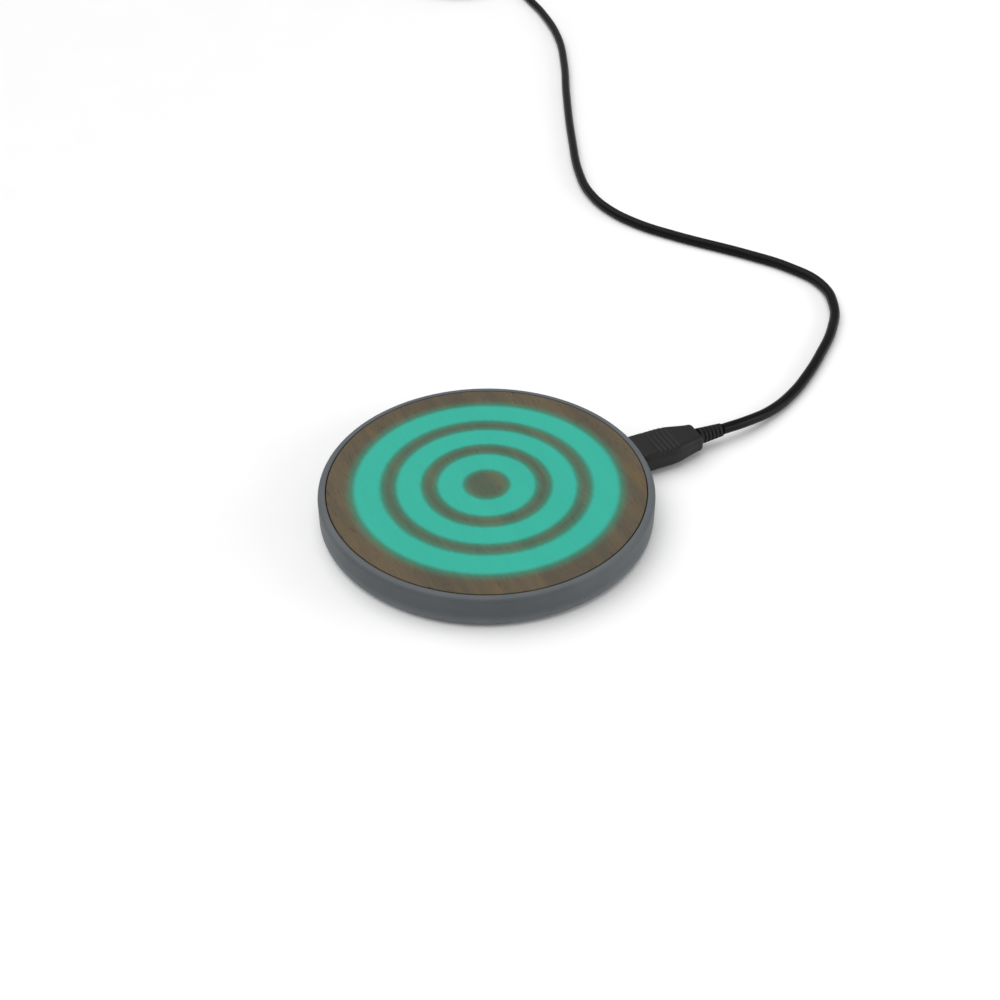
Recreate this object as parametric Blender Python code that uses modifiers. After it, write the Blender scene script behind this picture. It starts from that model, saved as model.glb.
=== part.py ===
"""A round wireless charging pad: a turned casing, a thin wooden top with three light rings
behind it, the coil and electronics inside, a screwed bottom with an anti-slip ring, and a
plug-in cord with its free length coiled.

Units are metres and +Z is up. The origin is on the resting plane, under the middle of the pad.
+X points at the socket in the casing's side, and the grain of the top runs along Y.
"""

import math

import bmesh
import bpy
from mathutils import Matrix, Vector

# Fits between pieces
GAP = 0.0003            # glue line or loose fit between two pieces that touch
SLIDE_FIT = 0.00015     # plug in its socket, on each side

# Casing
PAD_RADIUS = 0.0450
WALL = 0.0018
RIM_WIDTH = 0.00207     # from the casing's side to the top's opening
RIM_ROUND = 0.0016
BASE_ROUND = 0.0012
LEDGE_REACH = 0.0029    # how far the ledge under the top reaches in from the wall
LEDGE_THICKNESS = 0.0012

# Stack of layers, from the resting plane up
FOOT_PROUD = 0.0008
COVER_THICKNESS = 0.0012
PLATFORM_HEIGHT = 0.0006
BOARD_THICKNESS = 0.0010     # the ferrite lies in the board's plane and is as thick
COIL_WIRE = 0.0010
ROOM_OVER_COIL = 0.0006
GUIDE_THICKNESS = 0.0012
RIB_HEIGHT = 0.0005
TOP_THICKNESS = 0.0015

# Wooden top
TOP_FIT = 0.00025       # dark line between the top and the rim
TOP_CHAMFER = 0.0002

# Screws and their bosses
SCREW_COUNT = 4
BOSS_INSET = 0.0034     # boss centre from the wall's inner face
BOSS_RADIUS = 0.0022
BOSS_HOLE_DEPTH = 0.0031
SCREW_RADIUS = 0.0008
SCREW_LENGTH = 0.0040   # under the head
HEAD_RADIUS = 0.0015
HEAD_THICKNESS = 0.0007
HEAD_SUNK = 0.0001      # below the cover's face
DRIVE_WIDTH = 0.0004
DRIVE_DEPTH = 0.0004
RECESS_LAND = 0.0006    # cover left around a screw's recess

# Anti-slip ring
FOOT_WIDTH = 0.0060
FOOT_LAND = 0.0010      # cover left between the ring and the screw recesses
FOOT_GROOVE = 0.0005
FOOT_EDGE = 0.0002

# Light guide and lamps
GUIDE_MARGIN = 0.0011   # between the guide and the bosses
COLLAR_WIDTH = 0.0035   # the down-turned edge over the lamps
RIB_WIDTH = 0.0052
RIB_PITCH = 0.0111
RIB_INSET = 0.0053      # outermost rib's middle line, from the guide's edge
LAMP_COUNT = 8
LAMP_LENGTH = 0.0032
LAMP_WIDTH = 0.0016
LAMP_HEIGHT = 0.0010

# Board, coil and shield
BOARD_WIDTH = 0.0102
BOARD_MARGIN = 0.0004   # between the board and the bosses
STANDOFF_RADIUS = 0.0015
COIL_INNER = 0.0110
COIL_SPACING = 0.0003   # between neighbouring turns
COIL_TO_BOARD = 0.0030
COIL_LEAD = 0.0020      # how far each lead reaches over the board
LEAD_APART = 15.0       # degrees between the two leads
LEAD_ANGLE = -75.0
SHIELD_MARGIN = 0.0008
SHIELD_SLOT = 0.0022
SHIELD_OPENING = 0.0038      # radius of the opening where the coil's inner end goes down

# Parts on the board: name, angle in degrees, length, width, height
CHIPS = (
    ("controller_chip", 180.0, 0.0050, 0.0050, 0.0009),
    ("power_chip", 152.0, 0.0040, 0.0040, 0.0009),
    ("filter_choke", 122.0, 0.0050, 0.0050, 0.0013),
)
CAPACITOR_COUNT = 3
CAPACITOR_START = 208.0
CAPACITOR_STEP = 12.0
CAPACITOR_SIZE = (0.0032, 0.0025, 0.0012)
CHIP_FROM_EDGE = 0.0029   # middle of each, from the board's inner edge
SENSOR_RADIUS = 0.0016

# Plug and socket
PLUG_WIDTH = 0.0082
PLUG_THICKNESS = 0.0024
PLUG_WALL = 0.00035
SOCKET_WALL = 0.0003
SOCKET_LENGTH = 0.0070
SOCKET_SUNK = 0.0007      # mouth behind the casing's side
SOCKET_BASE = 0.0012
TONGUE_THICKNESS = 0.0008
TONGUE_FIT = 0.0004
TONGUE_SHORT = 0.0010     # tongue's end behind the mouth
PLUG_TIP_FIT = 0.0005
NOTCH_MARGIN = 0.0004
BOARD_ARM = 0.0031        # board on each side of the socket's notch
GRIP_WIDTH = 0.0120
GRIP_HEIGHT = 0.0062
GRIP_LENGTH = 0.0200
GRIP_ROUND = 0.0020
GRIP_STANDOFF = 0.0005    # between the grip and the casing
GRIP_POCKET = 0.0016
RELIEF_LENGTH = 0.0075
RELIEF_BIG = 0.0024       # radii of the strain relief's ends
RELIEF_RIM = 0.0003       # how much the small end is wider than the cord

# Far plug
FAR_SHELL = (0.0120, 0.0045, 0.0118)   # width, thickness, length
FAR_WALL = 0.0003
FAR_ROUND = 0.0006
FAR_INSERT_FIT = 0.0002
FAR_INSERT_THICKNESS = 0.0018
FAR_GRIP = (0.0156, 0.0076, 0.0260)
FAR_POCKET = 0.0020

# Cord. Every place on it is measured from the strain relief's small end, on the resting plane
CORD_RADIUS = 0.0016
CORD_POINT_SPACING = 0.0080
COIL_TURNS_ACROSS = 3
COIL_LAYERS = 2
CORD_COIL_RADIUS = 0.0176   # middle of the coil's turns
CORD_COIL_AT = (0.0746, 0.3570)
TIE_THICKNESS = 0.0005
TIE_WIDTH = 0.0060
TIE_FIT = 0.0005            # beside the turns, which curve under the strap
TIE_ANGLE = 205.0           # where it goes round the coil, in degrees from +X
FAR_PLUG_AT = (0.0310, 0.3953)
FAR_PLUG_TURN = 160.0       # degrees from +X

TURNED_STEPS = 72
SMALL_STEPS = 20


# Heights that follow from the stack
COVER_BOTTOM = FOOT_PROUD
COVER_TOP = COVER_BOTTOM + COVER_THICKNESS
PLATFORM_TOP = COVER_TOP + PLATFORM_HEIGHT
BOARD_BOTTOM = PLATFORM_TOP + GAP
BOARD_TOP = BOARD_BOTTOM + BOARD_THICKNESS
PARTS_BOTTOM = BOARD_TOP + GAP
COIL_Z = PARTS_BOTTOM + COIL_WIRE / 2
GUIDE_BOTTOM = PARTS_BOTTOM + COIL_WIRE + ROOM_OVER_COIL
GUIDE_TOP = GUIDE_BOTTOM + GUIDE_THICKNESS
RIB_TOP = GUIDE_TOP + RIB_HEIGHT
TOP_BOTTOM = RIB_TOP + GAP
PAD_HEIGHT = TOP_BOTTOM + TOP_THICKNESS
LEDGE_TOP = TOP_BOTTOM - GAP
LEDGE_BOTTOM = LEDGE_TOP - LEDGE_THICKNESS
SOCKET_Z = (COVER_TOP + LEDGE_BOTTOM) / 2
COLLAR_BOTTOM = PARTS_BOTTOM + LAMP_HEIGHT + GAP

# Places along X that follow from the socket
SOCKET_MOUTH = PAD_RADIUS - SOCKET_SUNK
SOCKET_BACK = SOCKET_MOUTH - SOCKET_LENGTH
SOCKET_BASE_FRONT = SOCKET_BACK + SLIDE_FIT + SOCKET_BASE
PLUG_TIP = SOCKET_BASE_FRONT + PLUG_TIP_FIT
GRIP_FRONT = PAD_RADIUS + GRIP_STANDOFF
GRIP_BACK = GRIP_FRONT + GRIP_LENGTH
RELIEF_END = GRIP_BACK + GAP + RELIEF_LENGTH
CORD_START = RELIEF_END + GAP
SOCKET_WIDTH = PLUG_WIDTH + 2 * (SLIDE_FIT + SOCKET_WALL)
SOCKET_HEIGHT = PLUG_THICKNESS + 2 * (SLIDE_FIT + SOCKET_WALL)

# Radii that follow from the casing's, from the outside in
INNER_WALL = PAD_RADIUS - WALL
OPENING = PAD_RADIUS - RIM_WIDTH
BOSS_CIRCLE = INNER_WALL - BOSS_INSET
HOLE_RADIUS = SCREW_RADIUS + GAP
RECESS_RADIUS = HEAD_RADIUS + GAP
FOOT_OUTER = BOSS_CIRCLE - RECESS_RADIUS - FOOT_LAND
FOOT_INNER = FOOT_OUTER - FOOT_WIDTH
GUIDE_RADIUS = min(BOSS_CIRCLE - BOSS_RADIUS, SOCKET_BACK) - GUIDE_MARGIN
LAMP_CIRCLE = GUIDE_RADIUS - COLLAR_WIDTH / 2
BOARD_OUTER = BOSS_CIRCLE - BOSS_RADIUS - BOARD_MARGIN
BOARD_INNER = BOARD_OUTER - BOARD_WIDTH
COIL_OUTER = BOARD_INNER - COIL_TO_BOARD
SHIELD_RADIUS = COIL_OUTER + SHIELD_MARGIN
COIL_PITCH = COIL_WIRE + COIL_SPACING
COIL_TURNS = int((COIL_OUTER - COIL_INNER) / COIL_PITCH + 1e-6)
LEAD_Z = (BOARD_BOTTOM + BOARD_TOP) / 2
CHIP_CIRCLE = BOARD_INNER + CHIP_FROM_EDGE
CORD_COIL_BOTTOM = TIE_THICKNESS + GAP

# The cord's route from its near end, chosen by hand: it drops to the surface and swings round
CORD_ROUTE = (
    (0.0000, 0.0000, SOCKET_Z),
    (0.0090, 0.0010, SOCKET_Z - 0.0006),
    (0.0195, 0.0040, CORD_RADIUS + 0.0006),
    (0.0297, 0.0088, CORD_RADIUS),
    (0.0395, 0.0151, CORD_RADIUS),
    (0.0505, 0.0237, CORD_RADIUS),
    (0.0609, 0.0331, CORD_RADIUS),
    (0.0693, 0.0442, CORD_RADIUS),
    (0.0731, 0.0575, CORD_RADIUS),
    (0.0692, 0.0709, CORD_RADIUS),
    (0.0619, 0.0828, CORD_RADIUS),
    (0.0452, 0.1053, CORD_RADIUS),
    (0.0380, 0.1173, CORD_RADIUS),
    (0.0337, 0.1305, CORD_RADIUS),
    (0.0333, 0.1445, CORD_RADIUS),
    (0.0364, 0.1581, CORD_RADIUS),
    (0.0466, 0.1842, CORD_RADIUS),
    (0.0636, 0.2226, CORD_RADIUS),
    (0.0755, 0.2479, CORD_RADIUS),
    (0.0857, 0.2740, CORD_RADIUS),
    (0.0916, 0.3013, CORD_RADIUS),
    (0.0931, 0.3170, CORD_RADIUS),
    (0.0944, 0.3370, CORD_RADIUS + 0.0003),
    (0.0954, 0.3570, CORD_COIL_BOTTOM + CORD_RADIUS),
)
TAIL_ROUTE = (
    (0.0817, 0.3766, CORD_COIL_BOTTOM + 3 * CORD_RADIUS),
    (0.0720, 0.3801, CORD_COIL_BOTTOM + 3 * CORD_RADIUS - 0.0006),
    (0.0635, 0.3833, CORD_RADIUS + 0.0018),
    (0.0550, 0.3867, CORD_RADIUS + 0.0004),
    (0.0470, 0.3895, CORD_RADIUS + 0.0002),
    (0.0400, 0.3920, FAR_GRIP[1] / 2 - 0.0008),
    (0.0310, 0.3953, FAR_GRIP[1] / 2),
)


# Scene and helpers


def clear_scene():
    for obj in list(bpy.data.objects):
        bpy.data.objects.remove(obj, do_unlink=True)


def new_collection(name):
    group = bpy.data.collections.new(name)
    bpy.context.scene.collection.children.link(group)
    return group


def paint(obj, colour, roughness, metallic=0.0):
    """The object's own Principled material."""
    material = bpy.data.materials.new(obj.name)
    material.use_nodes = True
    shader = material.node_tree.nodes["Principled BSDF"]
    shader.inputs["Base Color"].default_value = (*colour, 1.0)
    shader.inputs["Roughness"].default_value = roughness
    shader.inputs["Metallic"].default_value = metallic
    material.diffuse_color = (*colour, 1.0)
    obj.data.materials.clear()
    obj.data.materials.append(material)
    return obj


def add_object(name, data, group):
    obj = bpy.data.objects.new(name, data)
    group.objects.link(obj)
    return obj


def smooth(mesh):
    mesh.shade_smooth()
    mesh.set_sharp_from_angle(angle=math.radians(35))


def arc(centre, radius, start, end, segments):
    """Points along a circular arc, both ends included, with the angles in degrees."""
    return [
        (
            centre[0] + radius * math.cos(math.radians(start + (end - start) * i / segments)),
            centre[1] + radius * math.sin(math.radians(start + (end - start) * i / segments)),
        )
        for i in range(segments + 1)
    ]


def turned(name, profile, group, closed=True, steps=TURNED_STEPS):
    """A turned body about Z. The (radius, z) profile runs down its outer side."""
    mesh = bpy.data.meshes.new(name)
    count = len(profile)
    edges = [(i, i + 1) for i in range(count - 1)]
    if closed:
        edges.append((count - 1, 0))
    mesh.from_pydata([(r, 0.0, z) for r, z in profile], edges, [])
    obj = add_object(name, mesh, group)
    screw = obj.modifiers.new("turn", "SCREW")
    screw.axis = "Z"
    screw.angle = math.tau
    screw.steps = steps
    screw.render_steps = steps
    screw.use_smooth_shade = True
    screw.use_merge_vertices = True
    screw.merge_threshold = 0.00001
    return obj


def rounded_rectangle(width, height, radius, segments=4):
    """A closed outline centred on the origin, counter-clockwise."""
    x = width / 2 - radius
    y = height / 2 - radius
    points = []
    for cx, cy, start in ((x, y, 0), (-x, y, 90), (-x, -y, 180), (x, -y, 270)):
        points += arc((cx, cy), radius, start, start + 90, segments)
    return points


def prism(name, outlines, start, length, group):
    """A flat outline, with any holes as further outlines, made into a solid mesh along +Z."""
    curve = bpy.data.curves.new(name, "CURVE")
    curve.dimensions = "2D"
    curve.fill_mode = "BOTH"
    curve.extrude = length / 2
    for outline in outlines:
        spline = curve.splines.new("POLY")
        spline.points.add(len(outline) - 1)
        for point, (x, y) in zip(spline.points, outline):
            point.co = (x, y, 0.0, 1.0)
        spline.use_cyclic_u = True
    guide = add_object(name + "_outline", curve, group)
    guide.location.z = start + length / 2
    return as_mesh(name, guide, group)


def as_mesh(name, curve_object, group):
    """The curve's solid as a welded mesh object in the same place. The curve is removed."""
    bpy.context.view_layer.update()
    graph = bpy.context.evaluated_depsgraph_get()
    mesh = bpy.data.meshes.new_from_object(curve_object.evaluated_get(graph))
    mesh.transform(curve_object.matrix_world)
    bpy.data.objects.remove(curve_object, do_unlink=True)
    work = bmesh.new()
    work.from_mesh(mesh)
    bmesh.ops.remove_doubles(work, verts=work.verts, dist=0.000001)
    bmesh.ops.recalc_face_normals(work, faces=work.faces)
    work.to_mesh(mesh)
    work.free()
    mesh.name = name
    return add_object(name, mesh, group)


def along_x(obj, start, height):
    """Turns a prism that was made along +Z so that it runs along +X from start."""
    obj.data.transform(Matrix(((0, 0, 1, start), (1, 0, 0, 0), (0, 1, 0, height), (0, 0, 0, 1))))
    return obj


def box(name, size, centre, group, angle=0.0):
    mesh = bpy.data.meshes.new(name)
    work = bmesh.new()
    bmesh.ops.create_cube(work, size=1.0)
    bmesh.ops.scale(work, vec=size, verts=work.verts)
    work.to_mesh(mesh)
    work.free()
    obj = add_object(name, mesh, group)
    obj.location = centre
    obj.rotation_euler.z = math.radians(angle)
    return obj


def cylinder(name, radius, bottom, top, centre, group, steps=SMALL_STEPS):
    mesh = bpy.data.meshes.new(name)
    work = bmesh.new()
    bmesh.ops.create_cone(
        work, cap_ends=True, segments=steps, radius1=radius, radius2=radius, depth=top - bottom
    )
    work.to_mesh(mesh)
    work.free()
    obj = add_object(name, mesh, group)
    obj.location = (centre[0], centre[1], (bottom + top) / 2)
    return obj


def combine(obj, other, operation):
    """A Boolean modifier on obj, with the other object kept as a hidden helper."""
    modifier = obj.modifiers.new(operation.lower(), "BOOLEAN")
    modifier.operation = operation
    modifier.solver = "EXACT"
    modifier.object = other
    other.hide_render = True
    other.display_type = "WIRE"
    return obj


def bevelled(obj, width, segments=2, angle=50.0):
    modifier = obj.modifiers.new("edges", "BEVEL")
    modifier.width = width
    modifier.segments = segments
    modifier.limit_method = "ANGLE"
    modifier.angle_limit = math.radians(angle)
    return obj


def polar(radius, degrees):
    angle = math.radians(degrees)
    return radius * math.cos(angle), radius * math.sin(angle)


def smooth_route(points, spacing):
    """Evenly spaced points on a smooth curve through the given ones (a Catmull-Rom spline)."""
    knots = [Vector(p) for p in points]
    knots = [2 * knots[0] - knots[1], *knots, 2 * knots[-1] - knots[-2]]
    fine = []
    for a, b, c, d in zip(knots, knots[1:], knots[2:], knots[3:]):
        for i in range(16):
            t = i / 16
            fine.append(
                0.5
                * (
                    2 * b
                    + (c - a) * t
                    + (2 * a - 5 * b + 4 * c - d) * t**2
                    + (3 * b - a - 3 * c + d) * t**3
                )
            )
    fine.append(knots[-2])
    total = sum((q - p).length for p, q in zip(fine, fine[1:]))
    count = max(2, round(total / spacing))
    step = total / count
    even = [fine[0]]
    walked = 0.0
    for p, q in zip(fine, fine[1:]):
        length = (q - p).length
        while len(even) < count and walked + length >= step * len(even):
            even.append(p.lerp(q, (step * len(even) - walked) / length))
        walked += length
    even.append(fine[-1])
    return even


def wire(name, points, radius, group):
    """A round wire or cord along the points."""
    curve = bpy.data.curves.new(name, "CURVE")
    curve.dimensions = "3D"
    curve.bevel_depth = radius
    curve.bevel_resolution = 2
    curve.use_fill_caps = True
    spline = curve.splines.new("POLY")
    spline.points.add(len(points) - 1)
    for point, place in zip(spline.points, points):
        point.co = (*place, 1.0)
    return add_object(name, curve, group)


# Pad


def build_housing(parts, cutters):
    profile = [
        (OPENING, PAD_HEIGHT),
        *arc((PAD_RADIUS - RIM_ROUND, PAD_HEIGHT - RIM_ROUND), RIM_ROUND, 90, 0, 5),
        *arc((PAD_RADIUS - BASE_ROUND, COVER_BOTTOM + BASE_ROUND), BASE_ROUND, 0, -90, 4),
        (INNER_WALL, COVER_BOTTOM),
        (INNER_WALL, LEDGE_BOTTOM),
        (INNER_WALL - LEDGE_REACH, LEDGE_BOTTOM),
        (INNER_WALL - LEDGE_REACH, LEDGE_TOP),
        (OPENING, LEDGE_TOP),
    ]
    housing = turned("housing", profile, parts)
    for number, place in enumerate(screw_places(), 1):
        bottom = PLATFORM_TOP + GAP
        boss = cylinder(f"boss_{number}", BOSS_RADIUS, bottom, LEDGE_BOTTOM + GAP, place, cutters)
        combine(housing, boss, "UNION")
        hole = cylinder(
            f"boss_hole_{number}", HOLE_RADIUS, bottom - GAP, bottom + BOSS_HOLE_DEPTH, place, cutters
        )
        combine(housing, hole, "DIFFERENCE")
    width = SOCKET_WIDTH + 2 * GAP
    height = SOCKET_HEIGHT + 2 * GAP
    outline = rounded_rectangle(width, height, height * 0.49)
    window = prism("socket_window", [outline], 0.0, 2 * WALL, cutters)
    combine(housing, along_x(window, INNER_WALL - WALL / 2, SOCKET_Z), "DIFFERENCE")
    return paint(housing, (0.125, 0.135, 0.145), 0.62)


def screw_places():
    return [polar(BOSS_CIRCLE, 360.0 * (i + 0.5) / SCREW_COUNT) for i in range(SCREW_COUNT)]


def build_top(parts):
    radius = OPENING - TOP_FIT
    profile = [
        (0.0, PAD_HEIGHT),
        (radius - TOP_CHAMFER, PAD_HEIGHT),
        (radius, PAD_HEIGHT - TOP_CHAMFER),
        (radius, TOP_BOTTOM),
        (0.0, TOP_BOTTOM),
    ]
    return paint(turned("wood_top", profile, parts, closed=False), (0.14, 0.115, 0.075), 0.55)


def rib_radii():
    """Middle lines of the ribs that fit, from the outermost in."""
    radii = []
    radius = GUIDE_RADIUS - RIB_INSET
    while radius > RIB_WIDTH:
        radii.append(radius)
        radius -= RIB_PITCH
    return radii


def build_light_guide(parts):
    profile = [(0.0, GUIDE_TOP)]
    for radius in reversed(rib_radii()):
        inner = radius - RIB_WIDTH / 2
        outer = radius + RIB_WIDTH / 2
        profile += [(inner, GUIDE_TOP), (inner, RIB_TOP), (outer, RIB_TOP), (outer, GUIDE_TOP)]
    profile += [
        (GUIDE_RADIUS, GUIDE_TOP),
        (GUIDE_RADIUS, COLLAR_BOTTOM),
        (GUIDE_RADIUS - COLLAR_WIDTH, COLLAR_BOTTOM),
        (GUIDE_RADIUS - COLLAR_WIDTH, GUIDE_BOTTOM),
        (0.0, GUIDE_BOTTOM),
    ]
    guide = turned("light_guide", profile, parts, closed=False, steps=48)
    return paint(guide, (0.55, 0.9, 0.82), 0.2)


def build_lamps(parts):
    lamps = []
    for number in range(LAMP_COUNT):
        angle = 360.0 * (number + 0.5) / LAMP_COUNT
        x, y = polar(LAMP_CIRCLE, angle)
        size = (LAMP_WIDTH, LAMP_LENGTH, LAMP_HEIGHT)
        centre = (x, y, PARTS_BOTTOM + LAMP_HEIGHT / 2)
        lamp = box(f"led_{number + 1}", size, centre, parts, angle)
        lamps.append(paint(lamp, (0.75, 0.85, 0.78), 0.35))
    return lamps


def build_coil(parts):
    """One wire: a flat spiral, with its inner end led back under the turns."""
    start = math.radians(LEAD_ANGLE)
    sweep = math.radians(COIL_TURNS * 360.0 + LEAD_APART)
    per_turn = 18
    count = round(sweep / math.tau * per_turn)
    reach = BOARD_INNER + COIL_LEAD
    out_x, out_y = polar(reach, LEAD_ANGLE - 6.0)
    points = [Vector((out_x, out_y, COIL_Z))]
    for i in range(count + 1):
        angle = start + sweep * i / count
        radius = COIL_OUTER - COIL_PITCH * (angle - start) / math.tau
        points.append(Vector((radius * math.cos(angle), radius * math.sin(angle), COIL_Z)))
    radius = COIL_OUTER - COIL_PITCH * sweep / math.tau
    rise = COIL_OUTER + COIL_WIRE / 2 + (COIL_TO_BOARD - COIL_WIRE / 2) / 2
    angle = LEAD_ANGLE + LEAD_APART
    for distance, height, turn in (
        (radius - 0.0006, COIL_Z - 0.0001, 5.0),
        (radius - 0.0013, (COIL_Z + LEAD_Z) / 2, 7.0),
        (radius - 0.0011, LEAD_Z, 4.0),
        (radius + 0.0003, LEAD_Z, 0.5),
        (rise - 0.0008, LEAD_Z, 0.0),
        (rise, LEAD_Z + 0.0002, 0.0),
        (rise + 0.0003, COIL_Z - 0.0002, 0.0),
        (rise + 0.0011, COIL_Z, 0.0),
        (reach, COIL_Z, 0.0),
    ):
        x, y = polar(distance, angle + turn)
        points.append(Vector((x, y, height)))
    return paint(wire("charging_coil", points, COIL_WIRE / 2, parts), (0.45, 0.16, 0.05), 0.3, 0.9)


def build_shield(parts, cutters):
    shield = cylinder(
        "ferrite_shield", SHIELD_RADIUS, BOARD_BOTTOM, BOARD_TOP, (0.0, 0.0), parts, steps=48
    )
    length = SHIELD_RADIUS
    angle = LEAD_ANGLE + LEAD_APART
    start = COIL_OUTER - COIL_PITCH * COIL_TURNS - 2 * SHIELD_SLOT
    x, y = polar(start + length / 2, angle)
    size = (length, SHIELD_SLOT, 4 * BOARD_THICKNESS)
    slot = box("shield_slot", size, (x, y, LEAD_Z), cutters, angle)
    combine(shield, slot, "DIFFERENCE")
    opening = cylinder(
        "shield_opening", SHIELD_OPENING, BOARD_BOTTOM - GAP, BOARD_TOP + GAP,
        polar(start + SHIELD_OPENING, angle + 5.0), cutters,
    )
    combine(shield, opening, "DIFFERENCE")
    return paint(shield, (0.03, 0.03, 0.033), 0.7)


def build_board(parts):
    """A ring with two arms that hold the socket between them."""
    notch = SOCKET_WIDTH / 2 + NOTCH_MARGIN
    arm = notch + BOARD_ARM
    reach = math.sqrt((INNER_WALL - GAP) ** 2 - arm**2) - GAP
    half = math.degrees(math.asin(arm / BOARD_OUTER))
    back = SOCKET_BACK - NOTCH_MARGIN
    outline = arc((0.0, 0.0), BOARD_OUTER, half, 360.0 - half, 56)
    outline += [(reach, -arm), (reach, -notch), (back, -notch)]
    outline += [(back, notch), (reach, notch), (reach, arm)]
    hole = arc((0.0, 0.0), BOARD_INNER, 0.0, 352.5, 47)
    board = prism("main_board", [outline, hole], BOARD_BOTTOM, BOARD_THICKNESS, parts)
    return paint(board, (0.01, 0.09, 0.04), 0.45)


def build_board_parts(parts):
    made = []
    for name, angle, length, width, height in CHIPS:
        x, y = polar(CHIP_CIRCLE, angle)
        chip = box(name, (length, width, height), (x, y, PARTS_BOTTOM + height / 2), parts, angle)
        made.append(paint(chip, (0.02, 0.02, 0.022), 0.5))
    length, width, height = CAPACITOR_SIZE
    for number in range(CAPACITOR_COUNT):
        angle = CAPACITOR_START + CAPACITOR_STEP * number
        x, y = polar(CHIP_CIRCLE, angle)
        centre = (x, y, PARTS_BOTTOM + height / 2)
        capacitor = box(f"capacitor_{number + 1}", (length, width, height), centre, parts, angle)
        made.append(paint(capacitor, (0.35, 0.24, 0.14), 0.4))
    sensor = cylinder(
        "heat_sensor", SENSOR_RADIUS, PARTS_BOTTOM, PARTS_BOTTOM + COIL_WIRE, (0.0, 0.0), parts
    )
    made.append(paint(sensor, (0.05, 0.05, 0.05), 0.5))
    return made


def build_cover(parts, cutters):
    groove_outer = FOOT_OUTER + GAP
    groove_inner = FOOT_INNER - GAP
    groove_top = COVER_BOTTOM + FOOT_GROOVE
    platform = SHIELD_RADIUS - SHIELD_MARGIN
    profile = [
        (0.0, PLATFORM_TOP),
        (platform, PLATFORM_TOP),
        (platform, COVER_TOP),
        (INNER_WALL - GAP, COVER_TOP),
        (INNER_WALL - GAP, COVER_BOTTOM),
        (groove_outer, COVER_BOTTOM),
        (groove_outer, groove_top),
        (groove_inner, groove_top),
        (groove_inner, COVER_BOTTOM),
        (0.0, COVER_BOTTOM),
    ]
    cover = turned("bottom_cover", profile, parts, closed=False, steps=64)
    overlap = COVER_THICKNESS / 3
    recess_top = COVER_BOTTOM + HEAD_SUNK + HEAD_THICKNESS + GAP
    for number, place in enumerate(screw_places(), 1):
        land = cylinder(
            f"screw_land_{number}", RECESS_RADIUS + RECESS_LAND, COVER_TOP - overlap,
            PLATFORM_TOP, place, cutters,
        )
        combine(cover, land, "UNION")
        post_at = Vector(place).normalized() * (BOARD_INNER + BOARD_WIDTH / 2)
        post = cylinder(
            f"board_post_{number}", STANDOFF_RADIUS, COVER_TOP - overlap, PLATFORM_TOP, post_at, cutters
        )
        combine(cover, post, "UNION")
        recess = cylinder(
            f"recess_{number}", RECESS_RADIUS, COVER_BOTTOM - GAP, recess_top, place, cutters
        )
        combine(cover, recess, "DIFFERENCE")
        hole = cylinder(
            f"cover_hole_{number}", HOLE_RADIUS, COVER_BOTTOM, PLATFORM_TOP + GAP, place, cutters
        )
        combine(cover, hole, "DIFFERENCE")
    return paint(cover, (0.03, 0.032, 0.035), 0.6)


def build_screws(parts, cutters):
    bottom = COVER_BOTTOM + HEAD_SUNK
    head_top = bottom + HEAD_THICKNESS
    tip = head_top + SCREW_LENGTH
    profile = [
        (0.0, tip),
        (SCREW_RADIUS * 0.6, tip),
        (SCREW_RADIUS, tip - SCREW_RADIUS * 0.5),
        (SCREW_RADIUS, head_top),
        (HEAD_RADIUS, head_top),
        (HEAD_RADIUS, bottom),
        (0.0, bottom),
    ]
    screws = []
    for number, place in enumerate(screw_places(), 1):
        screw = turned(f"cover_screw_{number}", profile, parts, closed=False, steps=16)
        screw.location = (*place, 0.0)
        for letter, angle in (("a", 0.0), ("b", 90.0)):
            size = (HEAD_RADIUS * 1.2, DRIVE_WIDTH, 2 * DRIVE_DEPTH)
            slot = box(f"drive_{number}{letter}", size, (*place, bottom), cutters, angle)
            combine(screw, slot, "DIFFERENCE")
        screws.append(paint(screw, (0.5, 0.5, 0.52), 0.3, 1.0))
    return screws


def build_foot(parts):
    top = COVER_BOTTOM + FOOT_GROOVE - GAP
    profile = [
        (FOOT_INNER, top),
        (FOOT_OUTER, top),
        (FOOT_OUTER, FOOT_EDGE),
        (FOOT_OUTER - FOOT_EDGE, 0.0),
        (FOOT_INNER + FOOT_EDGE, 0.0),
        (FOOT_INNER, FOOT_EDGE),
    ]
    foot = turned("anti_slip_ring", profile, parts, steps=64)
    return paint(foot, (0.02, 0.02, 0.02), 0.85)


def shell_outlines(width, height, wall, radius):
    outer = rounded_rectangle(width, height, radius)
    inner = rounded_rectangle(width - 2 * wall, height - 2 * wall, max(radius - wall, wall / 2))
    return [outer, inner]


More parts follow.
